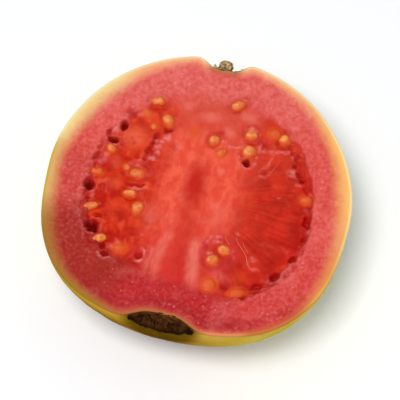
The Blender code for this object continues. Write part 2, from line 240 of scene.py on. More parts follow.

# Pale glossy shreds of pulp, and painted highlights on wet edges: x, y, length, width, turn in degrees,
# strength.
SHREDS_AND_HIGHLIGHTS = (
    (-11.8, 14.6, 1.8, 1.4, -20, 1.35),
    (-12.9, 13.2, 2.0, 1.3, 40, 0.9),
    (-14.5, 13.1, 1.3, 1.0, 0, 1.0),
    (-13.5, 11.3, 1.6, 1.5, 0, 1.0),
    (-13.2, 9.8, 1.5, 1.2, 0, 1.4),
    (-14.3, 8.1, 2.6, 1.5, -5, 1.2),
    (-25.3, 13.4, 1.4, 2.1, -15, 1.2),
    (-25.4, 9.3, 3.4, 1.0, 5, 0.8),
    (-26.7, 5.2, 1.8, 4.4, -20, 0.7),
    (-17.6, 5.0, 2.0, 0.9, -10, 0.6),
    (-19.3, 5.3, 1.5, 0.9, 0, 0.4),
    (-16.8, 6.4, 2.4, 0.7, -10, 0.45),
    (-15.8, -1.3, 4.6, 0.9, 10, 1.3),
    (-27.3, -5.4, 1.2, 4.2, 5, 0.6),
    (-30.4, -4.4, 0.9, 2.6, -10, 0.4),
    (-23.1, -14.4, 0.9, 2.8, 10, 0.5),
    (-21.2, -21.8, 2.0, 1.1, -30, 0.8),
    (-19.4, -22.4, 2.8, 0.8, 15, 0.7),
    (-19.4, -18.9, 1.6, 2.4, -40, 0.5),
    (-17.6, -17.2, 1.3, 2.0, -30, 0.5),
    (-9.9, -18.4, 1.0, 2.2, 20, 1.3),
    (-10.9, -20.8, 2.2, 0.9, 5, 1.25),
    (9.7, 22.0, 2.4, 1.0, 0, 1.0),
    (8.3, 21.6, 1.2, 1.8, 0, 0.5),
    (6.8, 15.9, 4.8, 0.6, 8, 0.6),
    (12.8, 17.4, 0.9, 2.8, 5, 0.7),
    (3.2, 16.7, 1.6, 1.2, -30, 0.5),
    (18.4, 17.4, 3.8, 0.9, 15, 0.8),
    (16.0, 16.6, 2.2, 1.0, -10, 0.4),
    (22.7, 12.4, 2.5, 1.6, -35, 0.9),
    (22.0, 16.7, 1.1, 1.7, 0, 0.5),
    (25.2, 9.6, 1.7, 0.9, 0, 0.5),
    (28.7, 7.7, 1.2, 1.4, 0, 0.5),
    (28.5, 2.9, 1.2, 1.7, 0, 0.3),
    (16.8, 10.6, 0.9, 2.2, -35, 0.45),
    (15.2, 9.6, 2.0, 0.7, 0, 0.45),
    (8.2, -11.2, 2.0, 0.9, 15, 1.1),
    (6.6, -14.4, 1.4, 1.1, 0, 1.25),
    (12.6, -7.8, 1.0, 0.9, 0, 0.7),
    (18.2, -13.6, 1.7, 1.0, 0, 0.45),
    (17.1, -15.0, 1.6, 0.8, -60, 0.5),
    (18.9, -16.1, 2.2, 0.7, -5, 0.6),
    (10.6, -20.2, 5.6, 2.8, -10, 0.3),
    (26.6, -17.0, 1.4, 2.4, 20, 0.5),
    (23.5, -18.5, 1.0, 1.8, 10, 0.5),
    (28.8, -12.6, 1.9, 0.9, 10, 0.5),
    (29.7, -11.0, 0.9, 1.8, 0, 0.5),
    (26.6, -10.0, 1.0, 1.6, 0, 0.35),
    (31.0, -6.4, 1.1, 3.2, 0, 0.35),
    (-20.2, 19.4, 2.4, 1.6, 0, 0.45),
    (-19.0, 20.7, 2.0, 1.4, 0, 0.3),
    (21.0, 5.1, 0.9, 0.8, 0, 0.4),
    (4.7, 8.4, 1.0, 0.8, 0, 0.3),
)

# Pale folds: half width, strength, then the points that they pass through.
FOLDS = (
    (0.4, 0.45, ((5.0, 15.6), (7.0, 15.9), (8.6, 16.6))),
    (0.45, 0.5, ((12.6, 16.4), (15.0, 16.8), (17.6, 17.5), (20.6, 18.3))),
    (0.35, 0.45, ((8.0, 13.6), (8.4, 11.6), (10.0, 10.7), (11.8, 11.2), (12.7, 12.8), (12.6, 14.8))),
    (0.35, 0.6, ((5.3, -11.8), (6.4, -10.3), (8.4, -9.7))),
    (0.3, 0.5, ((14.2, 11.2), (15.9, 12.9), (16.8, 15.4))),
    (0.3, 0.2, ((-31.0, -6.8), (-30.4, -9.8), (-29.0, -13.0), (-27.4, -16.2))),
    (0.4, 0.4, ((23.0, -19.6), (25.6, -17.4), (28.2, -13.8))),
)

# Mauve films that stand round seeds and hollows: x, y, length, width, turn in degrees, strength.
FILMS = (
    (10.7, 12.7, 4.2, 4.6, 0, 0.75),
    (8.8, -14.0, 8.4, 8.6, 20, 0.9),
    (-10.9, -19.3, 4.0, 3.8, 0, 0.9),
    (9.9, 20.6, 4.6, 4.6, 0, 0.6),
    (2.2, 15.6, 5.4, 4.6, -40, 0.4),
    (-17.0, 3.4, 5.8, 4.6, 0, 0.6),
    (13.8, 18.6, 3.2, 3.4, 0, 0.9),
    (18.2, -14.9, 3.0, 2.8, 0, 0.4),
)

# Orange glows in the pulp: x, y, length, width, turn in degrees, strength.
GLOWS = (
    (-4.9, 17.4, 3.6, 5.4, 0, 1.0),
    (-20.4, 8.4, 6.0, 3.0, 0, 0.3),
    (15.6, 21.8, 5.0, 4.6, 0, 0.6),
    (27.9, 5.4, 5.0, 3.2, 0, 0.8),
    (8.4, -23.2, 5.2, 5.0, 0, 0.8),
    (15.8, -22.9, 6.0, 3.6, 10, 0.6),
    (-16.6, -19.0, 5.0, 5.2, 0, 0.7),
    (-14.9, -8.4, 3.6, 5.0, 0, 0.6),
    (26.6, -14.0, 3.0, 3.0, 0, 0.4),
    (16.4, -19.0, 5.0, 4.0, 0, 0.4),
    (13.4, 2.6, 4.0, 8.0, 0, 0.25),
)

# Milky patches in the core: x, y, length, width, turn in degrees, strength.
MILKY = (
    (-1.6, 22.6, 8.0, 4.0, 10, 0.75),
    (8.4, 24.8, 7.0, 3.6, -10, 0.8),
    (4.2, 19.4, 5.0, 3.0, -20, 0.7),
    (-10.8, -8.4, 5.0, 8.0, 10, 0.5),
    (6.4, -4.0, 6.0, 11.0, 0, 0.42),
    (-8.2, 24.6, 6.0, 4.0, 20, 0.6),
)

# Strands of fibre: radius, then the points that they pass through. A strand's middle lies over the pulp by a
# share of its radius.
FIBRE_SEAT = 0.55
FIBRES = (
    (0.11, ((4.2, -12.2), (4.6, -10.9), (5.6, -10.1), (7.2, -9.8))),
    (0.13, ((9.6, -9.2), (10.3, -10.2), (11.3, -11.1))),
    (0.12, ((12.4, -8.6), (13.2, -10.0), (14.6, -11.4), (16.2, -13.3), (16.9, -15.0), (18.0, -16.1),
            (19.7, -16.1))),
    (0.09, ((14.4, -9.6), (15.4, -11.0), (16.6, -12.2))),
    (0.09, ((-11.1, 11.9), (-8.4, 10.3), (-7.1, 8.9), (-6.8, 7.2))),
    (0.07, ((13.9, 10.4), (15.3, 12.3), (16.2, 14.6))),
    (0.06, ((16.9, 10.4), (17.7, 12.4), (18.9, 15.0))),
    (0.10, ((-4.4, -8.6), (-4.7, -11.0), (-5.4, -14.0), (-6.6, -17.0))),
)

# Pale bands of tissue that run from the core to the calyx: half width, strength, then the points.
PALE_BANDS = (
    (1.4, 0.8, ((-5.0, -12.0), (-5.9, -16.0), (-6.4, -20.0), (-6.2, -25.6))),
    (0.9, 0.75, ((-8.0, -17.0), (-8.6, -21.0), (-8.8, -24.6))),
    (1.7, 1.15, ((2.6, -13.6), (3.3, -20.0), (4.2, -25.2))),
)

# The darker red in the middle of the core: x, y, length, width, turn in degrees.
CORE_HEART = (-1.4, 2.2, 17.0, 7.6, 92)

# The fainter red that runs on from it to the calyx: half width, strength, then the points.
CORE_STREAK = (2.8, 0.5, ((-1.2, -3.0), (-0.4, -12.0), (0.8, -25.0)))

# How far the peel's colour runs into the flesh: bearing in degrees, then width.
RIM_WIDTHS = (
    (0, 5.8), (15, 6.6), (30, 5.3), (60, 4.0), (75, 3.5), (92, 2.4), (105, 3.2),
    (120, 4.2), (135, 5.6), (155, 6.4), (180, 4.9), (200, 5.6), (210, 5.2), (225, 3.5),
    (240, 2.8), (256, 2.4), (270, 1.7), (300, 2.0), (316, 2.5), (330, 3.7), (345, 5.0),
)

# The sides of the cut that differ in colour: bearing in degrees, then the cosines of the angles off it at
# which a side begins and is full. Some sides carry painted light and shade, as noted at each.
SIDES = {
    # High on the right: a paler rim and peel, partly a painted glow of light through the thin rim.
    "bright": (24, 0.86, 0.985),
    "crown": (98, 0.4, 0.95),
    # At the stem's cavity: a darker, browner rim and peel, painted shade of the cavity.
    "cavity": (92, 0.987, 0.997),
    "high": (152, 0.88, 0.975),
    # On the left: the cut's own tone, darkened in part by painted shadow of a neighbouring fruit.
    "left": (186, 0.93, 0.99),
    "low": (263, 0.65, 0.93),
    # Low on the left: painted shadow of a neighbouring fruit on the flesh, the rim and the peel.
    "shade": (220, 0.86, 0.975),
    "lee": (326, 0.87, 0.98),
    "dusk": (311, 0.93, 0.995),
    # Right of the calyx: a painted highlight on the rim and the peel.
    "gleam": (293, 0.984, 0.998),
}

# Waves of noise that fray the edges of what is drawn on the cut: reach, size, and the layers for x and y.
PULP_EDGE_WAVES = ((0.8, 2.6, 11.3, 14.7), (0.3, 0.9, 12.1, 15.9))
RAGGED_WAVES = ((0.7, 1.5, 31.0, 33.0), (0.3, 0.6, 32.0, 34.0))
TORN_WAVES = ((0.3, 0.9, 35.0, 36.0),)

# Heights of what stands on the cut face, depths of what is sunk in it, and the share of a hollow's depth that
# its floor has.
CLOT_HEIGHT = 0.34
RAY_HEIGHT = 0.10
SHRED_HEIGHT = 0.32
FILM_HEIGHT = 0.12
PALE_HEIGHT = 0.1
VEIL_HEIGHT = 0.45
DEEP_RED_DEPTH = 0.35
MOAT_DEPTH = 0.3
HOLLOW_FILL = 0.85

# The flesh's border: how far it lies inside the skin's surface. Then, inwards from the outline: where its
# relief begins and is full, where the peel's colour ends and is full, where the dark brink of painted
# shade near the calyx begins and is full and where it ends and is full, and how deep the flesh tucks in at
# the peel.
FLESH_INSET = 0.38
RELIEF_BORDER = (0.9, 2.2)
PEEL_BORDER = (1.1, 0.1)
BRINK_START = (0.8, 2.2)
BRINK_END = (5.4, 3.0)
TUCK_DEPTH = 0.06
TUCK_BORDER = (0.8, 0.5)

# The skin's dimples: strength and size, then the height at which they are full. Points of its shell over the
# second height are brought level with the cut.
SKIN_DIMPLES = ((0.10, 4.2), (0.05, 1.7))
DIMPLES_FULL = -3
LEVELLED = -0.06

# Seeds: which are waisted, how high one may stand over the knife's plane, where its seat is felt, how far it
# sinks under a full veil, and its facets, waist, tilt in degrees and random draw.
DOUBLE_SEEDS = (1, 6, 8)
SEED_TOP = 1.4
SEED_SIZE = 1.12
SEED_SEAT = ((0, 0), (0.8, 0), (-0.8, 0), (0, 0.8), (0, -0.8))
SEED_SINK = 0.6
SEED_FACETS = 7
FACET_REACH = 0.93
WAIST_DEPTH = 0.26
WAIST_WIDTH = 0.26
SEED_TILT = 14
SEED_DRAW = 11

# The stem stub's lobes: middle x, share of the length, z, then half sizes. Its knobs: strength and size.
STUB_LOBES = (
    (0.0, 0.30, 0.4, 1.55, 1.75, 1.45),
    (0.1, 0.76, 0.5, 1.85, 1.25, 1.65),
    (-0.9, 0.64, 1.0, 1.1, 1.0, 1.0),
    (1.0, 0.60, 0.9, 1.0, 1.05, 0.9),
    (-2.2, 0.42, 0.3, 1.0, 0.7, 0.6),
    (-3.0, 0.55, 0.4, 0.5, 0.55, 0.4),
)
STUB_KNOBS = ((0.32, 0.9), (0.16, 0.42))
STUB_VOXEL = 0.13

# The calyx: its disc's radius, its sepals' middles and half widths in degrees and their share of the length,
# its thickness and how far it stands off the skin. Then its stamens: number, random draw, bearings in
# degrees, distances from the axis, lengths, radii at the foot and the tip, and how deep the foot is rooted.
CALYX_DISC = 7.7
SEPALS = ((8, 24, 1.5), (54, 26, 0.5), (96, 28, 0.4), (138, 26, 0.5), (172, 22, 1.0))
SEPAL_LENGTH = 0.9
CALYX_THICKNESS = 0.4
CALYX_LIFT = 0.35
STAMENS = 46
STAMEN_DRAW = 5
STAMEN_BEARINGS = (8, 172)
STAMEN_RING = (3.4, 6.4)
STAMEN_LENGTHS = (0.7, 1.5)
STAMEN_RADII = (0.16, 0.07)
STAMEN_ROOT = 0.6

# The studio: the world's light, the lamps by name, place, size, power and whether they show in reflections,
# then the camera's angles, aim, distance and lens, and the floor's side. Only the aim is in the fruit's
# millimetres. Other places and sizes here are in metres.
WORLD_STRENGTH = 0.55
WORLD_COLOUR = (0.83, 0.90, 1.0, 1.0)
LAMP_COLOUR = (1.0, 0.94, 0.87)
LAMPS = (
    ("key", (-0.06, -0.205, 0.88), 0.22, 5.22, False),
    ("glint", (-0.50, 0.10, 0.62), 0.07, 1.1, True),
)
CAMERA_AZIMUTH = 13.5
CAMERA_ELEVATION = 69.5
CAMERA_AIM = (0.6, -1.1)
CAMERA_DISTANCE = 0.6
CAMERA_LENS = 205
FLOOR_SIZE = 6

# How finely the pieces are divided and fitted, and over how many steps a strand of fibre is levelled.
FIBRE_STEPS = 10
FIBRE_LEVELLING = 5
CALYX_SPOKES = 150
CALYX_RINGS = 34
FACE_STEPS = 270
BOWL_STEPS = 7
SKIN_SEGMENTS = 320
SKIN_RINGS = 160
OUTLINE_STEPS = 720
BASIN_TRIES = 8


def smooth(low, high, value):
    """Runs from 0 at low to 1 at high, with level ends."""
    share = min(1.0, max(0.0, (value - low) / (high - low)))
    return share * share * (3 - 2 * share)


def smooths(low, high, values):
    """The same for an array."""
    shares = np.clip((values - low) / (high - low), 0, 1)
    return shares * shares * (3 - 2 * shares)


def well(distance, radius):
    """A round hollow: 1 at its middle and 0 a little past its radius."""
    return math.exp(-((distance / radius) ** 4))


def skin_along(direction):
    """The skin's point in a direction from the fruit's centre. The direction is a unit vector."""
    along = direction.y
    calyx_share = smooth(*SHAPE_CHANGE, -along)
    reach = STEM_REACH + (CALYX_REACH - STEM_REACH) * calyx_share
    power = 2 + (CALYX_END_SQUARENESS - 2) * calyx_share
    sideways = math.hypot(direction.x / HALF_WIDTH, direction.z / HALF_DEPTH)
    radius = (abs(along / reach) ** power + sideways**power) ** (-1 / power)
    lump = noise.noise(direction * radius / SKIN_LUMP_SIZE)
    radius += SKIN_LUMP * lump * math.sqrt(max(0.0, 1 - along * along))
    from_axis = math.hypot(direction.x * radius - AXIS_OFFSET, direction.z * radius)
    if along > 0:
        radius -= CAVITY_DEPTH * well(from_axis, CAVITY_RADIUS)
    else:
        radius -= BASIN_DEPTH * well(from_axis, BASIN_RADIUS)
    return direction * radius


def outline_point(around):
    """The cut's outline at an angle in radians, anticlockwise from +X."""
    return skin_along(Vector((math.cos(around), math.sin(around), 0.0)))


def grain(x, y, size, layer):
    """Smooth noise from -1 to 1 with features of a size. Each layer is another pattern."""
    points = zip(np.ravel(x) / size, np.ravel(y) / size)
    values = [noise.noise(Vector((u, v, layer))) for u, v in points]
    return np.array(values).reshape(np.shape(x))


def frayed(x, y, waves, start=None):
    """Points that waves of noise shift, so that what is drawn from them has a ragged edge."""
    frayed_x, frayed_y = start or (x, y)
    for reach, size, layer_x, layer_y in waves:
        frayed_x = frayed_x + reach * grain(x, y, size, layer_x)
        frayed_y = frayed_y + reach * grain(x, y, size, layer_y)
    return frayed_x, frayed_y


def patchy(x, y, level, swing, size, layer, top=1):
    """A share that comes and goes round a level, for what shows in patches."""
    return np.clip(level + swing * grain(x, y, size, layer), 0, top)


def crest(distance, middle, thickness):
    """1 at a distance and 0 away from it, for a ring or the brim of a dip."""
    return np.exp(-(((distance - middle) / thickness) ** 2))


def bumps(place, waves):
    """Noise at a point, in waves of a strength and a size each."""
    return sum(strength * noise.noise(place / size) for strength, size in waves)


def oval_distance(x, y, middle_x, middle_y, length, width, turn):
    """Distance from an oval's middle as a share of the way to its edge."""
    turn = math.radians(turn)
    along = (x - middle_x) * math.cos(turn) + (y - middle_y) * math.sin(turn)
    across = (y - middle_y) * math.cos(turn) - (x - middle_x) * math.sin(turn)
    return np.hypot(2 * along / length, 2 * across / width)


def line_distance(x, y, points):
    """Distance from a line through points."""
    nearest = np.full(np.shape(x), 1e9)
    for (x0, y0), (x1, y1) in zip(points, points[1:]):
        step_x, step_y = x1 - x0, y1 - y0
        share = ((x - x0) * step_x + (y - y0) * step_y) / (step_x**2 + step_y**2)
        share = np.clip(share, 0, 1)
        nearest = np.minimum(nearest, np.hypot(x - x0 - share * step_x, y - y0 - share * step_y))
    return nearest


def bump_at(bearings, end):
    """1 at that end of the core and 0 away from it."""
    away = (bearings - end["bearing"] + 180) % 360 - 180
    return np.exp(-((away / end["spread"]) ** 4))


def pulp_mask(x, y):
    """1 in the pulp and 0 in the firm flesh, with a ragged edge that fades at both ends of the core."""
    ragged_x, ragged_y = frayed(x, y, PULP_EDGE_WAVES)
    bearings = np.degrees(np.arctan2(ragged_y, ragged_x)) % 360
    stem_end = bump_at(bearings, STEM_END)
    calyx_end = bump_at(bearings, CALYX_END)
    outline = PULP_RADIUS - 0.5 + 0.8 * np.cos(np.radians(bearings + 12))
    outline -= STEM_END["draws_in"] * stem_end + CALYX_END["draws_in"] * calyx_end
    softness = 0.45 + 3.0 * stem_end + 2.6 * calyx_end
    return smooths(softness, -softness, np.hypot(ragged_x, ragged_y) - outline)


def pulp_clots(x, y):
    """The pulp's soft clots, from about -1 to 1. They are calmer in the right lobe."""
    return (0.9 * grain(x, y, 2.6, 3.0) + 0.6 * grain(x, y, 1.3, 5.0)) * (1 - 0.45 * smooths(2, 12, x))


def pulp_rays(x, y, pulp):
    """The fine rays that run outwards in the right lobe: where they show, and their ridges from -1 to 1."""
    bearing = np.arctan2(y, x)
    radius = np.hypot(x, y)
    ridges = grain(bearing * 26, radius / 9, 1.0, 21.0) + 0.6 * grain(bearing * 60, radius / 7, 1.0, 22.0)
    return pulp * smooths(5, 13, x) * smooths(31, 24, radius), ridges


def strongest(x, y, rows, start, end):
    """The strongest oval of a table at each point: full up to a share of its size, and gone at another."""
    mask = np.zeros_like(x)
    for *oval, strength in rows:
        mask = np.maximum(mask, strength * smooths(end, start, oval_distance(x, y, *oval)))
    return mask


def rings(x, y, rows, thickness):
    """The same for the rings round a table's ovals."""
    mask = np.zeros_like(x)
    for *oval, strength in rows:
        mask = np.maximum(mask, strength * crest(oval_distance(x, y, *oval), 1, thickness))
    return mask


def sunken(x, y, ragged, torn, deep_red_and_shade):
    """How far the hollows, the crevices, the deep red and the moats round bare seeds sink in."""
    floor = DEEP_RED_DEPTH * deep_red_and_shade
    for *oval, depth in HOLLOWS:
        floor = np.maximum(floor, HOLLOW_FILL * depth * smooths(1.25, 0.2, oval_distance(*torn, *oval)))
    patches = patchy(x, y, 0.7, 0.8, 3.1, 41.0, top=1.2)
    for half_width, depth, points in CREVICES:
        away = line_distance(*ragged, points) / half_width
        floor = np.maximum(floor, depth * patches * smooths(1.4, 0.2, away))
    for *oval, veil in SEEDS:
        moat = crest(oval_distance(x, y, *oval), 1.12, 0.24)
        floor = np.maximum(floor, MOAT_DEPTH * (1 - veil) * moat)
    return floor


def glossy_edges(x, y, ragged, torn):
    """The glossy edges of torn pulp, pale and with painted highlights: the shreds, the folds, and the brims
    of the hollows and crevices.
    """
    edges = strongest(*ragged, SHREDS_AND_HIGHLIGHTS, 0.0, 1.6) * patchy(x, y, 0.75, 0.8, 0.9, 44.0)
    # Painted highlights on the brims of the hollows and crevices, weaker on the right.
    glossy = 1 - 0.7 * smooths(14, 22, x)
    patches = patchy(x, y, 0.2, 1.2, 1.3, 43.0)
    for *oval, depth in HOLLOWS:
        brim = crest(oval_distance(*torn, *oval), 1.25, 0.16) * smooths(0.9, 2.6, depth)
        edges = np.maximum(edges, 0.45 * glossy * brim * patches)
    patches = patchy(x, y, 0.1, 1.3, 1.1, 45.0)
    for half_width, _, points in CREVICES:
        brim = crest(line_distance(*ragged, points) / half_width, 1.7, 0.5) * patches
        edges = np.maximum(edges, 0.36 * glossy * brim)
    patches = patchy(x, y, 0.6, 1.0, 1.2, 46.0)
    for half_width, strength, points in FOLDS:
        away = line_distance(*torn, points) / half_width
        edges = np.maximum(edges, strength * smooths(1.7, 0.3, away) * patches)
    return edges


def pale_share(x, y, ragged, torn):
    """The milky tissue: patches in the core, and the streaky bands that run to the calyx."""
    pale = strongest(*ragged, MILKY, 0.0, 1.25)
    ends = smooths(-27.5, -21.0, y) * smooths(-8.0, -14.0, y)
    streaks = 0.85 + 0.4 * grain(3 * x, 0.6 * y, 1.6, 48.0)
    for half_width, strength, points in PALE_BANDS:
        away = line_distance(*torn, points) / half_width
        pale = np.maximum(pale, strength * ends * smooths(1.7, 0.0, away) * streaks)
    return pale


def heart_share(ragged):
    """The darker red in the core's middle, and the streak that runs on from it."""
    half_width, strength, points = CORE_STREAK
    streak = strength * smooths(1.6, 0.2, line_distance(*ragged, points) / half_width)
    return np.maximum(streak, smooths(1.3, 0.2, oval_distance(*ragged, *CORE_HEART)))


def cut_face(x, y):
    """The cut face's heights over the knife's plane, and the masks that its colours follow."""
    pulp = pulp_mask(x, y)
    core = np.exp(-((x / CORE_HALF_WIDTH) ** 2))
    lobes = pulp * (1 - core)
    clots = pulp_clots(x, y)
    ray_share, rays = pulp_rays(x, y, pulp)
    height = pulp * RIPPLE * grain(x, y, RIPPLE_SIZE, 0.0) - LOBE_DEPTH * lobes
    height += lobes * (CLOT_HEIGHT * clots + 0.04 * grain(x, y, 0.7, 6.0))
    height += 0.05 * grain(x, y, 1.1, 7.0) + 0.035 * grain(x, y, 0.5, 9.0)
    height += RAY_HEIGHT * ray_share * rays
    # Painted highlight on the tops of the clots and the lumps.
    lump_highlight = 0.6 * lobes * smooths(0.1, 0.7, clots)
    for middle_x, middle_y, radius, rise in LUMPS:
        away = np.hypot(x - middle_x, y - middle_y) / radius
        height += rise * smooths(1.1, 0.35, away)
        lump_highlight = np.maximum(lump_highlight, rise * smooths(0.85, 0.1, away))

    ragged = frayed(x, y, RAGGED_WAVES)
    halfway = (0.5 * x + 0.5 * ragged[0], 0.5 * y + 0.5 * ragged[1])
    torn = frayed(x, y, TORN_WAVES, halfway)
    # Deep red between the lumps, with painted shade there, in the clots' dips, round the seeds and where
    # sunk.
    deep_red_and_shade = strongest(*torn, DEEP_RED_AND_SHADE_PATCHES, 0.2, 1.4)
    floor = sunken(x, y, ragged, torn, deep_red_and_shade)
    # Painted shade in the dips between the clots.
    deep_red_and_shade = np.maximum(deep_red_and_shade, 0.5 * lobes * smooths(-0.1, -0.7, clots))
    glow = strongest(*torn, GLOWS, 0.0, 1.35)
    patches = patchy(x, y, 0.4, 1.0, 2.1, 49.0)
    for *oval, veil in SEEDS:
        away = oval_distance(x, y, *oval)
        height += VEIL_HEIGHT * veil * smooths(1.3, 0.2, away)
        glow = np.maximum(glow, (0.6 + 0.4 * veil) * smooths(1.7, 0.9, away))
        # A ring of painted shade round the foot of each bare seed.
        deep_red_and_shade = np.maximum(deep_red_and_shade, 0.62 * (1 - veil) * (crest(away, 1.5, 0.4) * patches))
    # Pale shreds with painted highlights on wet edges and brims.
    shred_and_highlight = glossy_edges(x, y, ragged, torn)
    film = rings(*torn, FILMS, 0.22) * patchy(x, y, 0.8, 0.7, 1.8, 47.0)
    height += SHRED_HEIGHT * shred_and_highlight + FILM_HEIGHT * film - floor
    pale = pale_share(x, y, ragged, torn)
    height += PALE_HEIGHT * pale
    masks = {
        "heart": heart_share(ragged),
        "pulp": pulp,
        "core": core * pulp,
        # Painted shade in the hollows, darker the deeper they sink.
        "hollow": smooths(0.7, 3.4, floor),
        # Deep red with painted shade, darker where the face is sunk.
        "deep_red_and_shade": np.maximum(deep_red_and_shade, 0.85 * smooths(0.1, 1.0, floor)),
        "shred_and_highlight": shred_and_highlight,
        "film": film,
        "glow": glow,
        "pale": pale,
        "lump_highlight": lump_highlight,
        "ray": ray_share * (0.5 + 0.5 * rays),
    }
    return height, masks


def height_at(x, y):
    """The cut face's height at one point."""
    heights, _ = cut_face(np.array([x]), np.array([y]))
    return float(heights[0])


def fruit_centre():
    """Where the fruit's centre lies in the frame: the shape's box fitted to the solid's."""
    low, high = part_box("fruit_half")
    outline = [outline_point(math.tau * k / OUTLINE_STEPS) for k in range(OUTLINE_STEPS)]
    xs = [point.x for point in outline]
    ys = [point.y for point in outline]
    x = (low.x + high.x) / 2 - MM * (min(xs) + max(xs)) / 2
    y = (low.y + high.y) / 2 - MM * (min(ys) + max(ys)) / 2
    return Vector((x, y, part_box("calyx")[1].z))


CENTRE = fruit_centre()


def rim_mask(x, y, edge):
    """How strongly the peel's colour shows, from the distance to the outline."""
    bearings, widths = zip(*RIM_WIDTHS)
    width = np.interp(np.degrees(np.arctan2(y, x)), bearings, widths, period=360)
    ragged = edge + 0.4 * grain(x, y, 2.2, 51.0) + 0.25 * grain(x, y, 0.8, 52.0)
    return smooths(1, 0, ragged / width)


def side_masks(x, y):
    """1 on the side that a mask is named for, and 0 away from it."""
    bearings = np.arctan2(y, x)
    return {
        name: smooths(begins, full, np.cos(bearings - math.radians(bearing)))
        for name, (bearing, begins, full) in SIDES.items()
    }


class Wire:
    """A node's output. Arithmetic on it adds Math nodes."""

    def __init__(self, paint, socket):
        self.paint = paint
        self.socket = socket

    def sum(self, operation, first, second):
        return self.paint.node("ShaderNodeMath", {"operation": operation}, (first, second))

    def __add__(self, other):
        return self.sum("ADD", self, other)

    def __radd__(self, other):
        return self.sum("ADD", other, self)

    def __sub__(self, other):
        return self.sum("SUBTRACT", self, other)

    def __rsub__(self, other):
        return self.sum("SUBTRACT", other, self)

    def __mul__(self, other):
        return self.sum("MULTIPLY", self, other)

    def __rmul__(self, other):
        return self.sum("MULTIPLY", other, self)


class Paint:
    """A material under way: nodes that lead to one Principled shader."""

    def __init__(self, name, **constants):
        self.material = bpy.data.materials.new(name)
        self.material.use_nodes = True
        self.tree = self.material.node_tree
        self.shader = self.tree.nodes["Principled BSDF"]
        for socket, value in constants.items():
            self.shader.inputs[socket.replace("_", " ")].default_value = value
        self.place = self.node("ShaderNodeTexCoord", output="Object")

    def node(self, kind, settings=None, inputs=(), output=0):
        """Adds a node. Its settings are set first, then the values or wires of its inputs."""
        made = self.tree.nodes.new(kind)
        for name, value in (settings or {}).items():
            setattr(made, name, value)
        for key, value in inputs.items() if isinstance(inputs, dict) else enumerate(inputs):
            if isinstance(value, Wire):
                self.tree.links.new(value.socket, made.inputs[key])
            else:
                made.inputs[key].default_value = value
        return Wire(self, made.outputs[output])

    def mask(self, name):
        """A mask that the mesh carries."""
        return self.node("ShaderNodeAttribute", {"attribute_name": name}, output="Fac")

    def axis(self, name):
        """The place along one axis, in metres."""
        return self.node("ShaderNodeSeparateXYZ", None, (self.place,), name)

    def stretched(self, scale, turn=0.0):
        """The place, scaled and turned, for a pattern that runs one way."""
        inputs = {"Vector": self.place, "Rotation": (0.0, 0.0, turn), "Scale": scale}
        return self.node("ShaderNodeMapping", None, inputs)

    def noise(self, size, detail=2.0, place=None):
        """Cloudy noise from 0 to 1 with features of a size in millimetres."""
        inputs = {"Vector": place or self.place, "Scale": 1 / (size * MM), "Detail": detail}
        return self.node("ShaderNodeTexNoise", None, inputs)

    def cells(self, size, output="Distance"):
        """Distance from the nearest of scattered points that lie a size in millimetres apart."""
        inputs = {"Vector": self.place, "Scale": 1 / (size * MM)}
        return self.node("ShaderNodeTexVoronoi", None, inputs, output)

    def dots(self, size, edge, full, weak, strong):
        """Dots round scattered points, each with its own strength. Some are left out."""
        chance = self.node("ShaderNodeSeparateColor", None, (self.cells(size, "Color"),))
        return self.span(self.cells(size), edge, full) * self.span(chance, weak, strong)

    def span(self, value, low, high):
        """Runs smoothly from 0 at low to 1 at high."""
        settings = {"interpolation_type": "SMOOTHSTEP"}
        return self.node("ShaderNodeMapRange", settings, (value, low, high, 0.0, 1.0))

    def mix(self, share, low, high, blend="MIX"):
        """A colour between two."""
        settings = {"data_type": "RGBA", "blend_type": blend}
        return self.node("ShaderNodeMix", settings, {0: share, 6: low, 7: high}, 2)

    def coats(self, base, *layers):
        """Colours laid one after another over a base: each one's share and colour, and its blend if any."""
        for share, colour, *blend in layers:
            base = self.mix(share, base, colour, *blend)
        return base

    def bump(self, height, depth, strength=1.0):
        """A surface that is roughened by a height from 0 to 1, over a depth in millimetres."""
        inputs = {"Strength": strength, "Distance": depth * MM, "Height": height}
        return self.node("ShaderNodeBump", None, inputs)

    def finish(self, **wires):
        """Links wires to the shader's sockets and returns the material."""
        for socket, wire in wires.items():
            self.tree.links.new(wire.socket, self.shader.inputs[socket.replace("_", " ")])
        return self.material


def tint(red, green, blue):
    """A screen colour, 0 to 255 a channel, as the linear values that a shader takes."""
    values = [channel / 255 for channel in (red, green, blue)]
    return (*[v / 12.92 if v <= 0.04045 else ((v + 0.055) / 1.055) ** 2.4 for v in values], 1.0)


def round_the_cut(paint, colours, part):
    """A colour of the cut's border, which differs from side to side, with painted light and shade on some
    sides.
    """
    sides = [(paint.mask(side), getattr(colours, f"{part}_{side}")) for side in SIDES]
    return paint.coats(getattr(colours, f"{part}_right"), *sides)


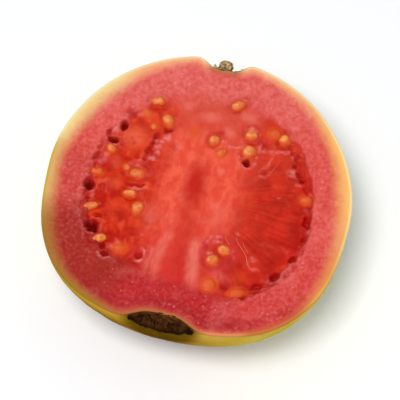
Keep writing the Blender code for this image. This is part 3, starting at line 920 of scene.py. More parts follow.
def firm_flesh(paint, colours, fine, specks):
    """The firm flesh's colour: another tone on each side, painted shade low on the left and near the calyx,
    with coarse and fine grain and stone cells.
    """
    shade, low, dusk = paint.mask("shade"), paint.mask("low"), paint.mask("dusk")
    cloud = paint.noise(7.0, 3.0)
    coarse = paint.noise(2.4, 2.0)
    return paint.coats(
        colours.flesh,
        (paint.mask("crown"), colours.flesh_crown),
        (low, colours.flesh_low),
        # Partly painted shadow of a neighbouring fruit, on the left.
        (paint.mask("left"), colours.flesh_left),
        (paint.mask("lee"), colours.flesh_lee),
        (dusk * 0.2, colours.flesh_low),
        # Painted shadow of a neighbouring fruit, low on the left.
        (shade, colours.flesh_shade),
        # The brink: painted shade in a band inside the peel near the calyx.
        (paint.mask("brink") * (low * 0.55 + dusk * 0.3), colours.flesh_brink),
        (paint.span(cloud, 0.52, 0.75) * 0.2, colours.flesh_light),
        (paint.span(cloud, 0.48, 0.25) * 0.25, colours.flesh_deep),
        (paint.span(coarse, 0.62, 0.34) * 0.55, colours.flesh_grain, "MULTIPLY"),
        (paint.span(fine, 0.42, 0.78) * (0.28 - shade * 0.12 - low * 0.12), colours.flesh_light),
        (paint.span(fine, 0.52, 0.3) * 0.4, colours.flesh_grain, "MULTIPLY"),
        (specks * (0.3 - shade * 0.16), colours.stone_cells),
    )


def wet_pulp(paint, colours, across, along):
    """The lobes' colour: clear red, more orange on the left, with films, rays and lumps whose tops carry
    a painted highlight.
    """
    red = paint.mix(paint.span(paint.noise(4.2, 3.0), 0.36, 0.66), colours.pulp_shade, colours.pulp)
    orange_share = paint.span(paint.noise(3.6, 3.0), 0.4, 0.66)
    orange = paint.mix(orange_share, colours.pulp_left_shade, colours.pulp_left)
    return paint.coats(
        red,
        (paint.span(across, 2 * MM, -10 * MM), orange),
        (paint.span(along, 4 * MM, 18 * MM) * 0.38, colours.pulp_light),
        (paint.span(paint.noise(1.5, 3.0), 0.55, 0.8) * 0.3, colours.pulp_light),
        (paint.mask("ray") * 0.4, colours.pulp_light),
        # Painted highlight on the tops of the lumps.
        (paint.mask("lump_highlight") * 0.55, colours.lump_highlight),
    )


def salmon_core(paint, colours, along):
    """The core's colour: streaks that run lengthways, pinker near the stem and crimson near the calyx."""
    streaks = paint.noise(2.0, 3.0, paint.stretched((1.0, 0.55, 1.0), math.radians(8)))
    return paint.coats(
        colours.core_shade,
        (paint.span(streaks, 0.34, 0.68), colours.core),
        (paint.span(paint.noise(5.0, 2.0), 0.55, 0.8) * 0.4, colours.pale_tissue),
        (paint.span(paint.noise(0.8, 3.0), 0.5, 0.3) * 0.18, colours.core_low),
        (paint.span(along, 10 * MM, 24 * MM) * 0.7, colours.core_high),
        (paint.span(along, 0.0, -24 * MM) * 0.75, colours.core_low),
        (paint.mask("heart") * 0.85, colours.heart),
    )


def flesh_material(colours):
    """Firm grainy flesh, wet pulp, salmon core and pale rim, each where its mask is. Hollows, dips, edges and
    some sides carry painted light and shade.
    """
    paint = Paint(
        "guava_flesh",
        Subsurface_Weight=0.1,
        Subsurface_Radius=(1.0, 0.3, 0.18),
        Subsurface_Scale=0.0012,
        Specular_IOR_Level=0.14,
    )
    pulp, hollow, shred_and_highlight, film = [paint.mask(name) for name in ("pulp", "hollow", "shred_and_highlight", "film")]
    fine = paint.noise(1.05, 3.0)
    specks = paint.dots(1.2, 0.32, 0.1, 0.5, 0.95)
    along = paint.axis("Y")
    juicy = wet_pulp(paint, colours, paint.axis("X"), along)
    inside = paint.mix(paint.span(paint.mask("core"), 0.04, 0.65), juicy, salmon_core(paint, colours, along))
    body = paint.coats(
        firm_flesh(paint, colours, fine, specks),
        (pulp, inside),
        (paint.mask("pale") * 0.64, colours.pale_tissue),
        (paint.mask("glow") * (0.25 + pulp * 0.5), colours.seed_glow),
        # Deep red with painted shade between lumps, in sunken places and round the seeds.
        (paint.mask("deep_red_and_shade") * 0.9, colours.deep_red_and_shade),
        (film * 0.75, colours.film),
        # Painted shade inside the hollows.
        (paint.span(hollow, 0.02, 0.9), colours.hollow),
        # Pale shreds with painted highlights.
        (shred_and_highlight * 0.62, colours.shred_and_highlight),
        (paint.mask("rim"), round_the_cut(paint, colours, "rim")),
        (paint.mask("peel"), round_the_cut(paint, colours, "peel")),
    )
    grainy = paint.noise(0.55, 2.0) * 0.5 + fine * 0.5 + specks * 0.1
    relief = grainy * (1 - pulp * 0.8) + paint.noise(1.4, 2.0) * pulp * 0.3
    return paint.finish(
        Base_Color=body,
        Roughness=0.58 - specks * 0.1 - pulp * 0.26 - shred_and_highlight * 0.04 - film * 0.08 + hollow * 0.4,
        Normal=paint.bump(relief, 0.25, 0.7),
    )


def skin_material(colours):
    """Smooth waxy yellow skin with green and cream clouds, small pores and a few scars. Towards the calyx it
    turns a riper gold, with painted shade in gold, ochre and brown under the fruit's bulge.
    """
    paint = Paint("guava_skin", Specular_IOR_Level=0.0, Coat_Roughness=0.3)
    patch = paint.noise(6.0, 4.0)
    mottle = paint.noise(1.6, 3.0)
    pores = paint.dots(2.1, 0.17, 0.07, 0.25, 0.6)
    scars = paint.span(paint.noise(7.0, 5.0), 0.69, 0.74) * paint.span(mottle, 0.35, 0.6)
    skin = paint.coats(
        colours.skin_green,
        (paint.span(paint.noise(14.0, 3.0), 0.38, 0.62), colours.skin),
        (paint.span(patch, 0.5, 0.72) * 0.7, colours.skin_cream),
        (paint.span(mottle, 0.55, 0.32) * 0.35, colours.skin_green),
        (pores * 0.7, colours.pore),
        (scars * 0.75, colours.scar),
        # Gold: a riper tone with painted shade on the calyx's half, less where lit on the right.
        (paint.mask("gold") * (0.65 + patch * 0.4), colours.skin_gold),
        # Ochre: painted shade low on the skin, under the fruit's bulge.
        (paint.mask("ochre") * (0.6 + patch * 0.4), colours.skin_ochre),
        # Basin: brown round the calyx, with painted shade of the underside below it.
        (paint.mask("basin") * (0.65 + mottle * 0.5), colours.skin_basin),
        (paint.mask("rim"), round_the_cut(paint, colours, "peel")),
    )
    relief = mottle * 0.6 - pores * 0.8 + scars * 0.5 + paint.noise(0.5, 2.0) * 0.15
    return paint.finish(
        Base_Color=skin,
        Coat_Weight=paint.span(paint.mask("gold"), 0.7, 0.1) * 0.14,
        Roughness=0.44 + scars * 0.3 + mottle * 0.1,
        Normal=paint.bump(relief, 0.12, 0.8),
    )


def seed_material(colours):
    """Hard wet seeds, bare on top and veiled by red pulp at the sides, with painted light and shade."""
    paint = Paint(
        "guava_seed",
        Specular_IOR_Level=0.5,
        Coat_Roughness=0.15,
        Subsurface_Weight=0.1,
        Subsurface_Radius=(1.0, 0.5, 0.2),
        Subsurface_Scale=0.001,
    )
    veil = paint.mask("veil")
    bare = paint.span(veil, 0.8, 0.2)
    seed = paint.coats(
        colours.seed_shade,
        (paint.span(paint.noise(1.3, 3.0), 0.35, 0.68), colours.seed),
        # Painted highlights, in patches.
        (paint.span(paint.noise(0.8, 2.0), 0.6, 0.8) * 0.6, colours.seed_highlight),
        (veil, colours.seed_glow),
    )
    return paint.finish(
        Base_Color=seed,
        Coat_Weight=bare * 0.22,
        Roughness=0.5 - bare * 0.2,
        Normal=paint.bump(paint.noise(0.5, 2.0), 0.12, 0.6),
    )


def fibre_material(colours):
    """Pale wet strands."""
    paint = Paint("guava_fibre", Specular_IOR_Level=0.5, Subsurface_Weight=0.1, Subsurface_Scale=0.0005)
    return paint.finish(
        Base_Color=paint.mix(paint.noise(2.0, 2.0), colours.fibre_shade, colours.fibre),
        Roughness=0.32 - paint.noise(0.8, 1.0) * 0.1,
        Normal=paint.bump(paint.noise(0.4, 1.0), 0.05, 0.5),
    )


def stub_material(colours):
    """Dry woody bark, dark in its cracks."""
    paint = Paint("guava_stem", Specular_IOR_Level=0.25)
    rough = paint.noise(0.9, 4.0)
    bark = paint.coats(
        colours.bark_crack,
        (paint.span(rough, 0.38, 0.62), colours.bark),
        (paint.span(paint.noise(0.5, 3.0), 0.58, 0.75), colours.bark_light),
    )
    return paint.finish(
        Base_Color=bark,
        Roughness=0.9 - rough * 0.15,
        Normal=paint.bump(rough + paint.noise(0.3, 3.0) * 0.5, 0.35, 1.0),
    )


def calyx_material(colours):
    """Dried brown tissue that turns black at its curled tips, with painted shade under them."""
    paint = Paint("guava_calyx", Specular_IOR_Level=0.0)
    patch = paint.noise(1.9, 3.0)
    dry = paint.coats(
        colours.calyx_shade,
        (paint.span(patch, 0.35, 0.7), colours.calyx),
        # Black tips: their own dark colour with painted shade under the curled sepals.
        (paint.mask("tip"), colours.calyx_tip),
        (paint.span(paint.noise(0.45, 2.0), 0.68, 0.78) * 0.4, colours.calyx_fleck),
    )
    return paint.finish(
        Base_Color=dry,
        Roughness=0.88 - patch * 0.15,
        Normal=paint.bump(patch + paint.noise(0.6, 2.0) * 0.4, 0.22, 0.8),
    )


def floor_material(colours):
    """A plain pale studio floor."""
    paint = Paint("studio_floor", Specular_IOR_Level=0.2)
    shade = paint.mix(paint.noise(400.0, 1.0), colours.floor, colours.floor_shade)
    return paint.finish(Base_Color=shade, Roughness=0.9 - paint.noise(300.0, 1.0) * 0.1)


def colour(name, description, red, green, blue):
    """A colour of the panel with its default."""
    default = tint(red, green, blue)
    return bpy.props.FloatVectorProperty(
        name=name, description=description, default=default, size=4, min=0, max=1, subtype="COLOR"
    )


def length(name, description, default, low, high):
    """A length of the panel in metres, from millimetres."""
    low, default, high = low * MM, default * MM, high * MM
    return bpy.props.FloatProperty(
        name=name, description=description, default=default, min=low, max=high, unit="LENGTH", precision=4
    )


class GuavaSizes(bpy.types.PropertyGroup):
    """Sizes that a user may change."""

    peel: length("Peel", "Thickness of the skin's shell", 0.6, 0.3, 2)
    rim_bevel: length("Rim bevel", "Rounding of the peel's cut edge", 0.22, 0.05, 0.5)
    seed_height: length("Seed height", "Height of a seed", 2.7, 2.0, 3.2)
    seed_rise: length("Seed rise", "How far a seed's middle lies over the pulp", -0.55, -1.5, 1)
    stub_length: length("Stem stub", "Length of the stem stub", 4.4, 3, 5)
    sepal_curl: length("Sepal curl", "How far the sepals stand out", 0.5, 0, 2.5)


class GuavaColours(bpy.types.PropertyGroup):
    """Colours that a user may change."""

    flesh: colour("Flesh", "Firm flesh", 216, 85, 76)
    flesh_crown: colour("Flesh, crown", "Firm flesh near the stem", 221, 101, 94)
    # Painted shadow of a neighbouring fruit on the flesh low on the left.
    flesh_shade: colour("Flesh, shade", "Firm flesh low on the left", 162, 42, 32)
    # Partly painted shadow of a neighbouring fruit on the flesh on the left.
    flesh_left: colour("Flesh, left", "Firm flesh on the left", 202, 74, 65)
    flesh_lee: colour("Flesh, lee", "Firm flesh low on the right", 210, 72, 66)
    flesh_low: colour("Flesh, low", "Firm flesh near the calyx", 184, 38, 42)
    # Painted shade in a band inside the peel near the calyx.
    flesh_brink: colour("Flesh, brink", "Firm flesh inside the peel near the calyx", 158, 32, 38)
    flesh_light: colour("Flesh, light grain", "Light grains in the flesh", 240, 136, 130)
    flesh_deep: colour("Flesh, dark grain", "Dark grains in the flesh", 196, 52, 58)
    flesh_grain: colour("Flesh, grain", "How the grains darken the flesh", 240, 190, 178)
    stone_cells: colour("Stone cells", "Small pale grains in the flesh", 248, 170, 164)
    pulp: colour("Pulp", "Wet pulp of the right lobe", 195, 28, 12)
    pulp_shade: colour("Pulp, deeper", "Clear deep pulp of the right lobe", 164, 14, 4)
    pulp_left: colour("Pulp, left", "Wet pulp of the left lobe", 210, 54, 16)
    pulp_left_shade: colour("Pulp, left, deeper", "Clear deep pulp of the left lobe", 184, 22, 3)
    pulp_light: colour("Pulp, light", "Streaks and films on the pulp", 222, 72, 42)
    # Painted highlight on the tops of the lumps of pulp.
    lump_highlight: colour("Plump pulp", "The tops of the lumps of pulp", 238, 106, 72)
    core: colour("Core", "Soft core", 236, 96, 70)
    core_shade: colour("Core, deeper", "Deeper streaks in the core", 222, 72, 50)
    core_low: colour("Core, near the calyx", "The core's crimson end", 200, 42, 36)
    core_high: colour("Core, near the stem", "The core's pinker end", 196, 64, 50)
    heart: colour("Heart", "Darker red in the core's middle", 182, 16, 6)
    pale_tissue: colour("Pale tissue", "Milky tissue in the core", 232, 124, 108)
    seed_glow: colour("Seed glow", "Pulp that a seed shows through", 216, 79, 23)
    # Deep red, used also as painted shade between lumps, in sunken places and round the seeds.
    deep_red_and_shade: colour("Deep red", "Deep red between the lumps", 166, 10, 4)
    film: colour("Film", "Mauve film round seeds", 196, 48, 52)
    # Painted shade inside the hollows, darker with their depth.
    hollow: colour("Hollow", "Inside of a hollow", 128, 8, 5)
    # Pale shreds, used also as painted highlights on wet edges and brims.
    shred_and_highlight: colour("Shreds", "Pale glossy shreds of pulp", 245, 150, 146)
    # Rim on the right and high on the right: partly a painted glow of light through the thin rim.
    rim_right: colour("Rim, right", "Flesh next to the peel on the right", 230, 161, 102)
    rim_bright: colour("Rim, bright", "Flesh next to the peel high on the right", 246, 190, 108)
    rim_crown: colour("Rim, crown", "Flesh next to the peel near the stem", 244, 178, 128)
    # Painted shade of the stem's cavity on the rim.
    rim_cavity: colour("Rim, cavity", "Flesh next to the peel in the stem's cavity", 190, 92, 66)
    rim_high: colour("Rim, high", "Flesh next to the peel high on the left", 238, 212, 140)
    # Partly painted shadow of a neighbouring fruit on the rim on the left.
    rim_left: colour("Rim, left", "Flesh next to the peel on the left", 217, 175, 108)
    rim_low: colour("Rim, low", "Flesh next to the peel near the calyx", 180, 90, 60)
    # Painted shadow of a neighbouring fruit on the rim low on the left.
    rim_shade: colour("Rim, shade", "Flesh next to the peel low on the left", 167, 114, 49)
    rim_lee: colour("Rim, lee", "Flesh next to the peel on the lower right", 222, 142, 80)
    # Painted highlight on the rim right of the calyx.
    rim_gleam: colour("Rim, gleam", "Flesh next to the peel right of the calyx", 208, 104, 80)
    rim_dusk: colour("Rim, dusk", "Flesh next to the peel at the bottom right", 193, 88, 56)
    # Peel on the right and high on the right: partly a painted glow of light through the thin peel.
    peel_right: colour("Peel, right", "Cut edge of the peel on the right", 237, 196, 122)
    peel_bright: colour("Peel, bright", "Cut edge of the peel high on the right", 246, 216, 150)
    peel_crown: colour("Peel, crown", "Cut edge of the peel near the stem", 240, 202, 146)
    # Painted shade of the stem's cavity on the peel.
    peel_cavity: colour("Peel, cavity", "Cut edge of the peel in the stem's cavity", 178, 122, 76)
    peel_high: colour("Peel, high", "Cut edge of the peel high on the left", 236, 220, 166)
    # Partly painted shadow of a neighbouring fruit on the peel on the left.
    peel_left: colour("Peel, left", "Cut edge of the peel on the left", 202, 166, 66)
    peel_low: colour("Peel, low", "Cut edge of the peel near the calyx", 176, 102, 58)
    # Painted shadow of a neighbouring fruit on the peel low on the left.
    peel_shade: colour("Peel, shade", "Cut edge of the peel low on the left", 156, 114, 42)
    peel_lee: colour("Peel, lee", "Cut edge of the peel on the lower right", 220, 163, 85)
    # Painted highlight on the peel right of the calyx.
    peel_gleam: colour("Peel, gleam", "Cut edge of the peel right of the calyx", 214, 134, 86)
    peel_dusk: colour("Peel, dusk", "Cut edge of the peel at the bottom right", 195, 112, 58)
    skin: colour("Skin", "Ripe yellow skin", 232, 216, 94)
    skin_green: colour("Skin, green", "Greener clouds on the skin", 204, 192, 62)
    skin_cream: colour("Skin, cream", "Pale clouds on the skin", 242, 228, 142)
    # Riper skin near the calyx, with painted shade on the calyx's half.
    skin_gold: colour("Skin, gold", "Riper skin near the calyx", 206, 152, 40)
    # Painted shade low on the calyx's side, under the fruit's bulge.
    skin_ochre: colour("Skin, ochre", "Skin low on the calyx's side", 128, 88, 12)
    # Brown round the calyx, with painted shade of the underside below it.
    skin_basin: colour("Skin, basin", "Brown skin round the calyx", 92, 64, 8)
    pore: colour("Pores", "Small dark pores", 146, 122, 34)
    scar: colour("Scars", "Rough brown scars", 150, 108, 50)
    seed: colour("Seed", "Bare seed", 238, 154, 76)
    seed_shade: colour("Seed, deeper", "Deeper parts of a seed", 219, 108, 42)
    # Painted highlights on the seeds.
    seed_highlight: colour("Seed, light", "Worn light parts of a seed", 251, 202, 118)
    fibre: colour("Fibre", "Pale strands", 232, 112, 90)
    fibre_shade: colour("Fibre, deeper", "Deeper parts of the strands", 214, 74, 54)
    bark: colour("Bark", "Dry bark of the stem stub", 198, 166, 118)
    bark_light: colour("Bark, light", "Worn bark", 228, 206, 166)
    bark_crack: colour("Bark, cracks", "Cracks in the bark", 108, 80, 48)
    calyx: colour("Calyx", "Dried calyx", 100, 56, 26)
    calyx_shade: colour("Calyx, deeper", "Deeper parts of the calyx", 52, 28, 12)
    # The tips' own dark colour with painted shade under the curled sepals.
    calyx_tip: colour("Calyx tips", "Black curled tips", 34, 17, 9)
    calyx_fleck: colour("Calyx flecks", "Pale flecks on the calyx", 150, 118, 84)
    floor: colour("Floor", "Studio floor", 250, 252, 255)
    floor_shade: colour("Floor, deeper", "Studio floor's faint clouds", 249, 251, 255)


def deselect():
    """Leaves object mode with nothing selected."""
    if bpy.context.object and bpy.context.object.mode != "OBJECT":
        bpy.ops.object.mode_set(mode="OBJECT")
    bpy.ops.object.select_all(action="DESELECT")


def points_of(piece):
    """A mesh's points as an array of rows."""
    points = np.empty(len(piece.data.vertices) * 3)
    piece.data.vertices.foreach_get("co", points)
    return points.reshape(-1, 3)


def set_points(piece, points):
    """Moves a mesh's points."""
    piece.data.vertices.foreach_set("co", np.asarray(points, dtype=float).ravel())
    piece.data.update()


def set_mask(piece, name, values):
    """Stores a mask on the mesh's points, kept from 0 to 1."""
    attribute = piece.data.attributes.new(name, "FLOAT", "POINT")
    attribute.data.foreach_set("value", np.clip(np.asarray(values, dtype=float), 0, 1).ravel())


def recalculate(piece, gap=1e-6):
    """Merges points that lie within a gap, and turns the faces outwards."""
    bpy.context.view_layer.objects.active = piece
    bpy.ops.object.mode_set(mode="EDIT")
    bpy.ops.mesh.select_all(action="SELECT")
    bpy.ops.mesh.remove_doubles(threshold=gap)
    bpy.ops.mesh.normals_make_consistent(inside=False)
    bpy.ops.object.mode_set(mode="OBJECT")


def modifier(piece, kind, **settings):
    """Adds a modifier and applies it."""
    bpy.context.view_layer.objects.active = piece
    made = piece.modifiers.new(kind, kind)
    for name, value in settings.items():
        setattr(made, name, value)
    bpy.ops.object.modifier_apply(modifier=made.name)


def finished(piece, name, material, replaced=(), angle=60):
    """Names a piece, gives it its material and hands it to the frame. An open mesh is an error."""
    deselect()
    piece.select_set(True)
    bpy.context.view_layer.objects.active = piece
    bpy.ops.object.transform_apply(location=True, rotation=True, scale=True)
    bpy.ops.object.shade_smooth_by_angle(angle=math.radians(angle))
    piece.name = piece.data.name = name
    piece.data.materials.clear()
    piece.data.materials.append(material)
    shell = bmesh.new()
    shell.from_mesh(piece.data)
    gaps = sum(not edge.is_manifold for edge in shell.edges)
    shell.free()
    if gaps:
        raise RuntimeError(f"{name} isn't closed: {gaps} edges")
    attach(piece, "root")
    if replaced:
        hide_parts(*replaced)
    return piece


def joined(pieces):
    """Joins pieces into the last of them and applies its place."""
    deselect()
    for piece in pieces:
        piece.select_set(True)
    bpy.context.view_layer.objects.active = pieces[-1]
    bpy.ops.object.join()
    bpy.ops.object.transform_apply(location=True, rotation=True, scale=True)
    return bpy.context.object


def place_round_centre(piece, points):
    """Moves a piece's points from millimetres round the fruit's centre into the frame."""
    set_points(piece, points * MM + np.array(CENTRE))


def outline_radii(bearings):
    """The outline's radius at bearings in radians."""
    steps = np.linspace(0, math.tau, 4 * OUTLINE_STEPS, endpoint=False)
    radii = [outline_point(step).length for step in steps]
    return np.interp(bearings, steps, radii, period=math.tau)


def edge_distances(x, y):
    """How far points lie inside the outline."""
    count = 6 * OUTLINE_STEPS
    tree = KDTree(count)
    for k in range(count):
        tree.insert(outline_point(math.tau * k / count), k)
    tree.balance()
    return np.array([tree.find((u, v, 0.0))[2] for u, v in zip(x, y)])


class GUAVA_OT_stage(bpy.types.Operator):
    """Sets up the pale floor, the soft light and the camera"""

    bl_idname = "guava.stage"
    bl_label = "Stage"

    def execute(self, context):
        self.add_floor(context)
        self.add_light(context)
        self.add_camera(context)
        context.scene.view_settings.view_transform = "Standard"
        context.scene.view_settings.look = "None"
        return {"FINISHED"}

    def add_floor(self, context):
        """A plain floor under the fruit."""
        deselect()
        bpy.ops.mesh.primitive_plane_add(size=FLOOR_SIZE, location=(0, 0, 0))
        floor = context.object
        floor.name = floor.data.name = "studio_floor"
        floor.data.materials.append(floor_material(context.scene.guava_colours))

    def add_light(self, context):
        """An even world, and the lamps turned to the fruit."""
        world = bpy.data.worlds.new("studio")
        world.use_nodes = True
        background = world.node_tree.nodes["Background"]
        background.inputs["Color"].default_value = WORLD_COLOUR
        background.inputs["Strength"].default_value = WORLD_STRENGTH
        context.scene.world = world
        for name, place, size, power, reflected in LAMPS:
            deselect()
            bpy.ops.object.light_add(type="AREA", location=place)
            light = context.object
            light.name = light.data.name = name
            light.data.size = size
            light.data.energy = power
            light.data.color = LAMP_COLOUR
            light.visible_glossy = reflected
            light.visible_diffuse = not reflected
            light.rotation_euler = (CENTRE - Vector(place)).to_track_quat("-Z", "Y").to_euler()

    def add_camera(self, context):
        """The camera, which looks down on the cut."""
        turn, rise = math.radians(CAMERA_AZIMUTH), math.radians(CAMERA_ELEVATION)
        level = Vector((-math.sin(turn), math.cos(turn), 0))
        right = Vector((math.cos(turn), math.sin(turn), 0))
        ahead = level * math.cos(rise) - Vector((0, 0, math.sin(rise)))
        up = right.cross(ahead)
        aim = CENTRE + right * CAMERA_AIM[0] * MM + up * CAMERA_AIM[1] * MM
        deselect()
        bpy.ops.object.camera_add(location=aim - ahead * CAMERA_DISTANCE)
        camera = context.object
        camera.name = camera.data.name = "camera"
        camera.rotation_euler = ahead.to_track_quat("-Z", "Y").to_euler()
        camera.data.lens = CAMERA_LENS
        camera.data.clip_start = 0.01
        context.scene.camera = camera


class GUAVA_OT_flesh(bpy.types.Operator):
    """Makes the flesh: the worked cut face and the body under it"""

    bl_idname = "guava.flesh"
    bl_label = "Flesh"

    def execute(self, context):
        deselect()
        bpy.ops.mesh.primitive_grid_add(x_subdivisions=FACE_STEPS, y_subdivisions=FACE_STEPS, size=2)
        flesh = context.object
        self.fit_outline(flesh)
        self.add_bowl(flesh)
        recalculate(flesh)

        points = points_of(flesh)
        x, y = points[:, 0], points[:, 1]
        heights, masks = cut_face(x, y)
        edge = edge_distances(x, y)
        masks.update(side_masks(x, y), rim=rim_mask(x, y, edge), peel=smooths(*PEEL_BORDER, edge))
        # The brink, where painted shade lies in a band inside the peel.
        masks["brink"] = smooths(*BRINK_END, edge) * smooths(*BRINK_START, edge)
        on_top = points[:, 2] > -0.001
        tucked = TUCK_DEPTH * smooths(*TUCK_BORDER, edge)
        points[:, 2] += on_top * (heights * smooths(*RELIEF_BORDER, edge) - tucked)
        for name, values in masks.items():
            set_mask(flesh, name, values * on_top)
        place_round_centre(flesh, points)
        material = flesh_material(context.scene.guava_colours)
        finished(flesh, "flesh", material, ("fruit_half",), angle=80)
        return {"FINISHED"}

    def fit_outline(self, flesh):
        """Rounds the square grid and fits it inside the outline."""
        points = points_of(flesh)
        u, v = points[:, 0], points[:, 1]
        wide = np.abs(u) >= np.abs(v)
        share = np.where(wide, v, u) / np.maximum(np.where(wide, np.abs(u), np.abs(v)), 1e-9)
        bearings = np.where(wide, 0.25 * math.pi * share, 0.5 * math.pi - 0.25 * math.pi * share)
        bearings = np.where(wide & (u < 0), math.pi - bearings, bearings)
        bearings = np.where(~wide & (v < 0), -bearings, bearings)
        reach = np.maximum(np.abs(u), np.abs(v)) * (outline_radii(bearings) - FLESH_INSET)
        points[:, 0] = reach * np.cos(bearings)
        points[:, 1] = reach * np.sin(bearings)
        set_points(flesh, points)

    def add_bowl(self, flesh):
        """Extrudes the outline down along the skin in rings and closes it at the bottom."""
        bpy.ops.object.mode_set(mode="EDIT")
        bpy.ops.mesh.select_mode(type="EDGE")
        bpy.ops.mesh.select_all(action="DESELECT")
        bpy.ops.mesh.select_non_manifold()
        for k in range(1, BOWL_STEPS + 1):
            bpy.ops.mesh.extrude_edges_move()
            if k == BOWL_STEPS:
                bpy.ops.mesh.merge(type="CENTER")
            shell = bmesh.from_edit_mesh(flesh.data)
            dip = math.pi / 2 * k / BOWL_STEPS
            for vertex in shell.verts:
                if vertex.select:
                    vertex.co = self.bowl_point(math.atan2(vertex.co.y, vertex.co.x), dip)
            bmesh.update_edit_mesh(flesh.data)
        bpy.ops.object.mode_set(mode="OBJECT")

    def bowl_point(self, around, dip):
        """A point just inside the skin, at angles in radians round the centre and down from the cut."""
        level = math.cos(dip)
        direction = Vector((math.cos(around) * level, math.sin(around) * level, -math.sin(dip)))
        point = skin_along(direction)
        point -= direction * FLESH_INSET
        point.z = max(point.z, FLESH_INSET - RESTING_DEPTH)
        return point


class GUAVA_OT_skin(bpy.types.Operator):
    """Makes the skin's shell with its cut edge, its cavity at the stem and its basin at the calyx"""

    bl_idname = "guava.skin"
    bl_label = "Skin"

    def execute(self, context):
        sizes = context.scene.guava_sizes
        deselect()
        bpy.ops.mesh.primitive_uv_sphere_add(segments=SKIN_SEGMENTS, ring_count=SKIN_RINGS, radius=1)
        skin = context.object
        bpy.ops.object.mode_set(mode="EDIT")
        bpy.ops.mesh.select_all(action="SELECT")
        bpy.ops.transform.rotate(value=math.radians(90), orient_axis="X", center_override=(0, 0, 0))
        bpy.ops.mesh.select_all(action="SELECT")
        bpy.ops.mesh.bisect(plane_co=(0, 0, 0), plane_no=(0, 0, 1), clear_outer=True, threshold=1e-4)
        bpy.ops.object.mode_set(mode="OBJECT")
        points = points_of(skin)
        points[:, 2] = np.minimum(points[:, 2], 0)
        for k, point in enumerate(points):
            direction = Vector(point).normalized()
            place = skin_along(direction)
            points[k] = place + direction * bumps(place, SKIN_DIMPLES) * smooth(0, DIMPLES_FULL, place.z)
        points[:, 2] = np.maximum(points[:, 2], -RESTING_DEPTH)
        set_points(skin, points)
        recalculate(skin)
        modifier(skin, "SOLIDIFY", thickness=sizes.peel / MM, offset=-1, use_even_offset=False, use_rim=True)
        points = points_of(skin)
        points[points[:, 2] > LEVELLED, 2] = 0
        set_points(skin, points)
        self.round_rim(skin, sizes.rim_bevel / MM)

        points = points_of(skin)
        for name, values in self.masks(*points.T).items():
            set_mask(skin, name, values)
        place_round_centre(skin, points)
        material = skin_material(context.scene.guava_colours)
        finished(skin, "skin", material, ("fruit_half",), angle=75)
        return {"FINISHED"}

    def masks(self, x, y, z):
        """Where the skin takes the rim's colour, turns gold on the calyx's half, ochre low on the left, and
        brown round the calyx. Gold is a riper tone with painted shade, ochre is painted shade under the
        fruit's bulge, and the brown has painted shade of the underside below the calyx.
        """
        lit = 0.5 * smooths(0, 30, x)
        low_left = smooths(-8, -20, y) * smooths(24, -4, x)
        from_calyx = np.hypot(x - AXIS_OFFSET, z / 1.7)
        return {
            "rim": smooths(-1.7, -0.2, z),
            "gold": smooths(-10, -28, y) * (1 - lit),
            "ochre": low_left * smooths(-1.5, -10, z),
            "basin": smooths(12.5, 8.0, from_calyx) * (y < 0),
            **side_masks(x, y),
        }

    def round_rim(self, skin, width):
        """Bevels the outer edge of the cut."""
        bpy.ops.object.mode_set(mode="EDIT")
        bpy.ops.mesh.select_mode(type="EDGE")
        bpy.ops.mesh.select_all(action="DESELECT")
        shell = bmesh.from_edit_mesh(skin.data)
        for edge in shell.edges:
            level = all(abs(vertex.co.z) < 1e-4 for vertex in edge.verts)
            walls = [face for face in edge.link_faces if abs(face.normal.z) < 0.6]
            outer = all(face.normal.dot(face.calc_center_median()) > 0 for face in walls)
            edge.select = bool(level and walls and outer)
        shell.select_flush(True)
        bmesh.update_edit_mesh(skin.data)
        bpy.ops.mesh.bevel(offset=width, segments=3, affect="EDGES")
        bpy.ops.object.mode_set(mode="OBJECT")


def seed_reach(direction, shift, facets, waisted):
    """A seed's unevenness in a direction: roughened, blunted by its facets and drawn in at its waist."""
    reach = 1 + 0.07 * noise.noise(direction * 1.3 + shift) + 0.03 * noise.noise(direction * 4 + shift)
    for facet in facets:
        reach = min(reach, FACET_REACH / max(0.05, direction.dot(facet))) * 0.5 + reach * 0.5
    if waisted:
        reach *= 1 - WAIST_DEPTH * math.exp(-((direction.x / WAIST_WIDTH) ** 2))
    return reach


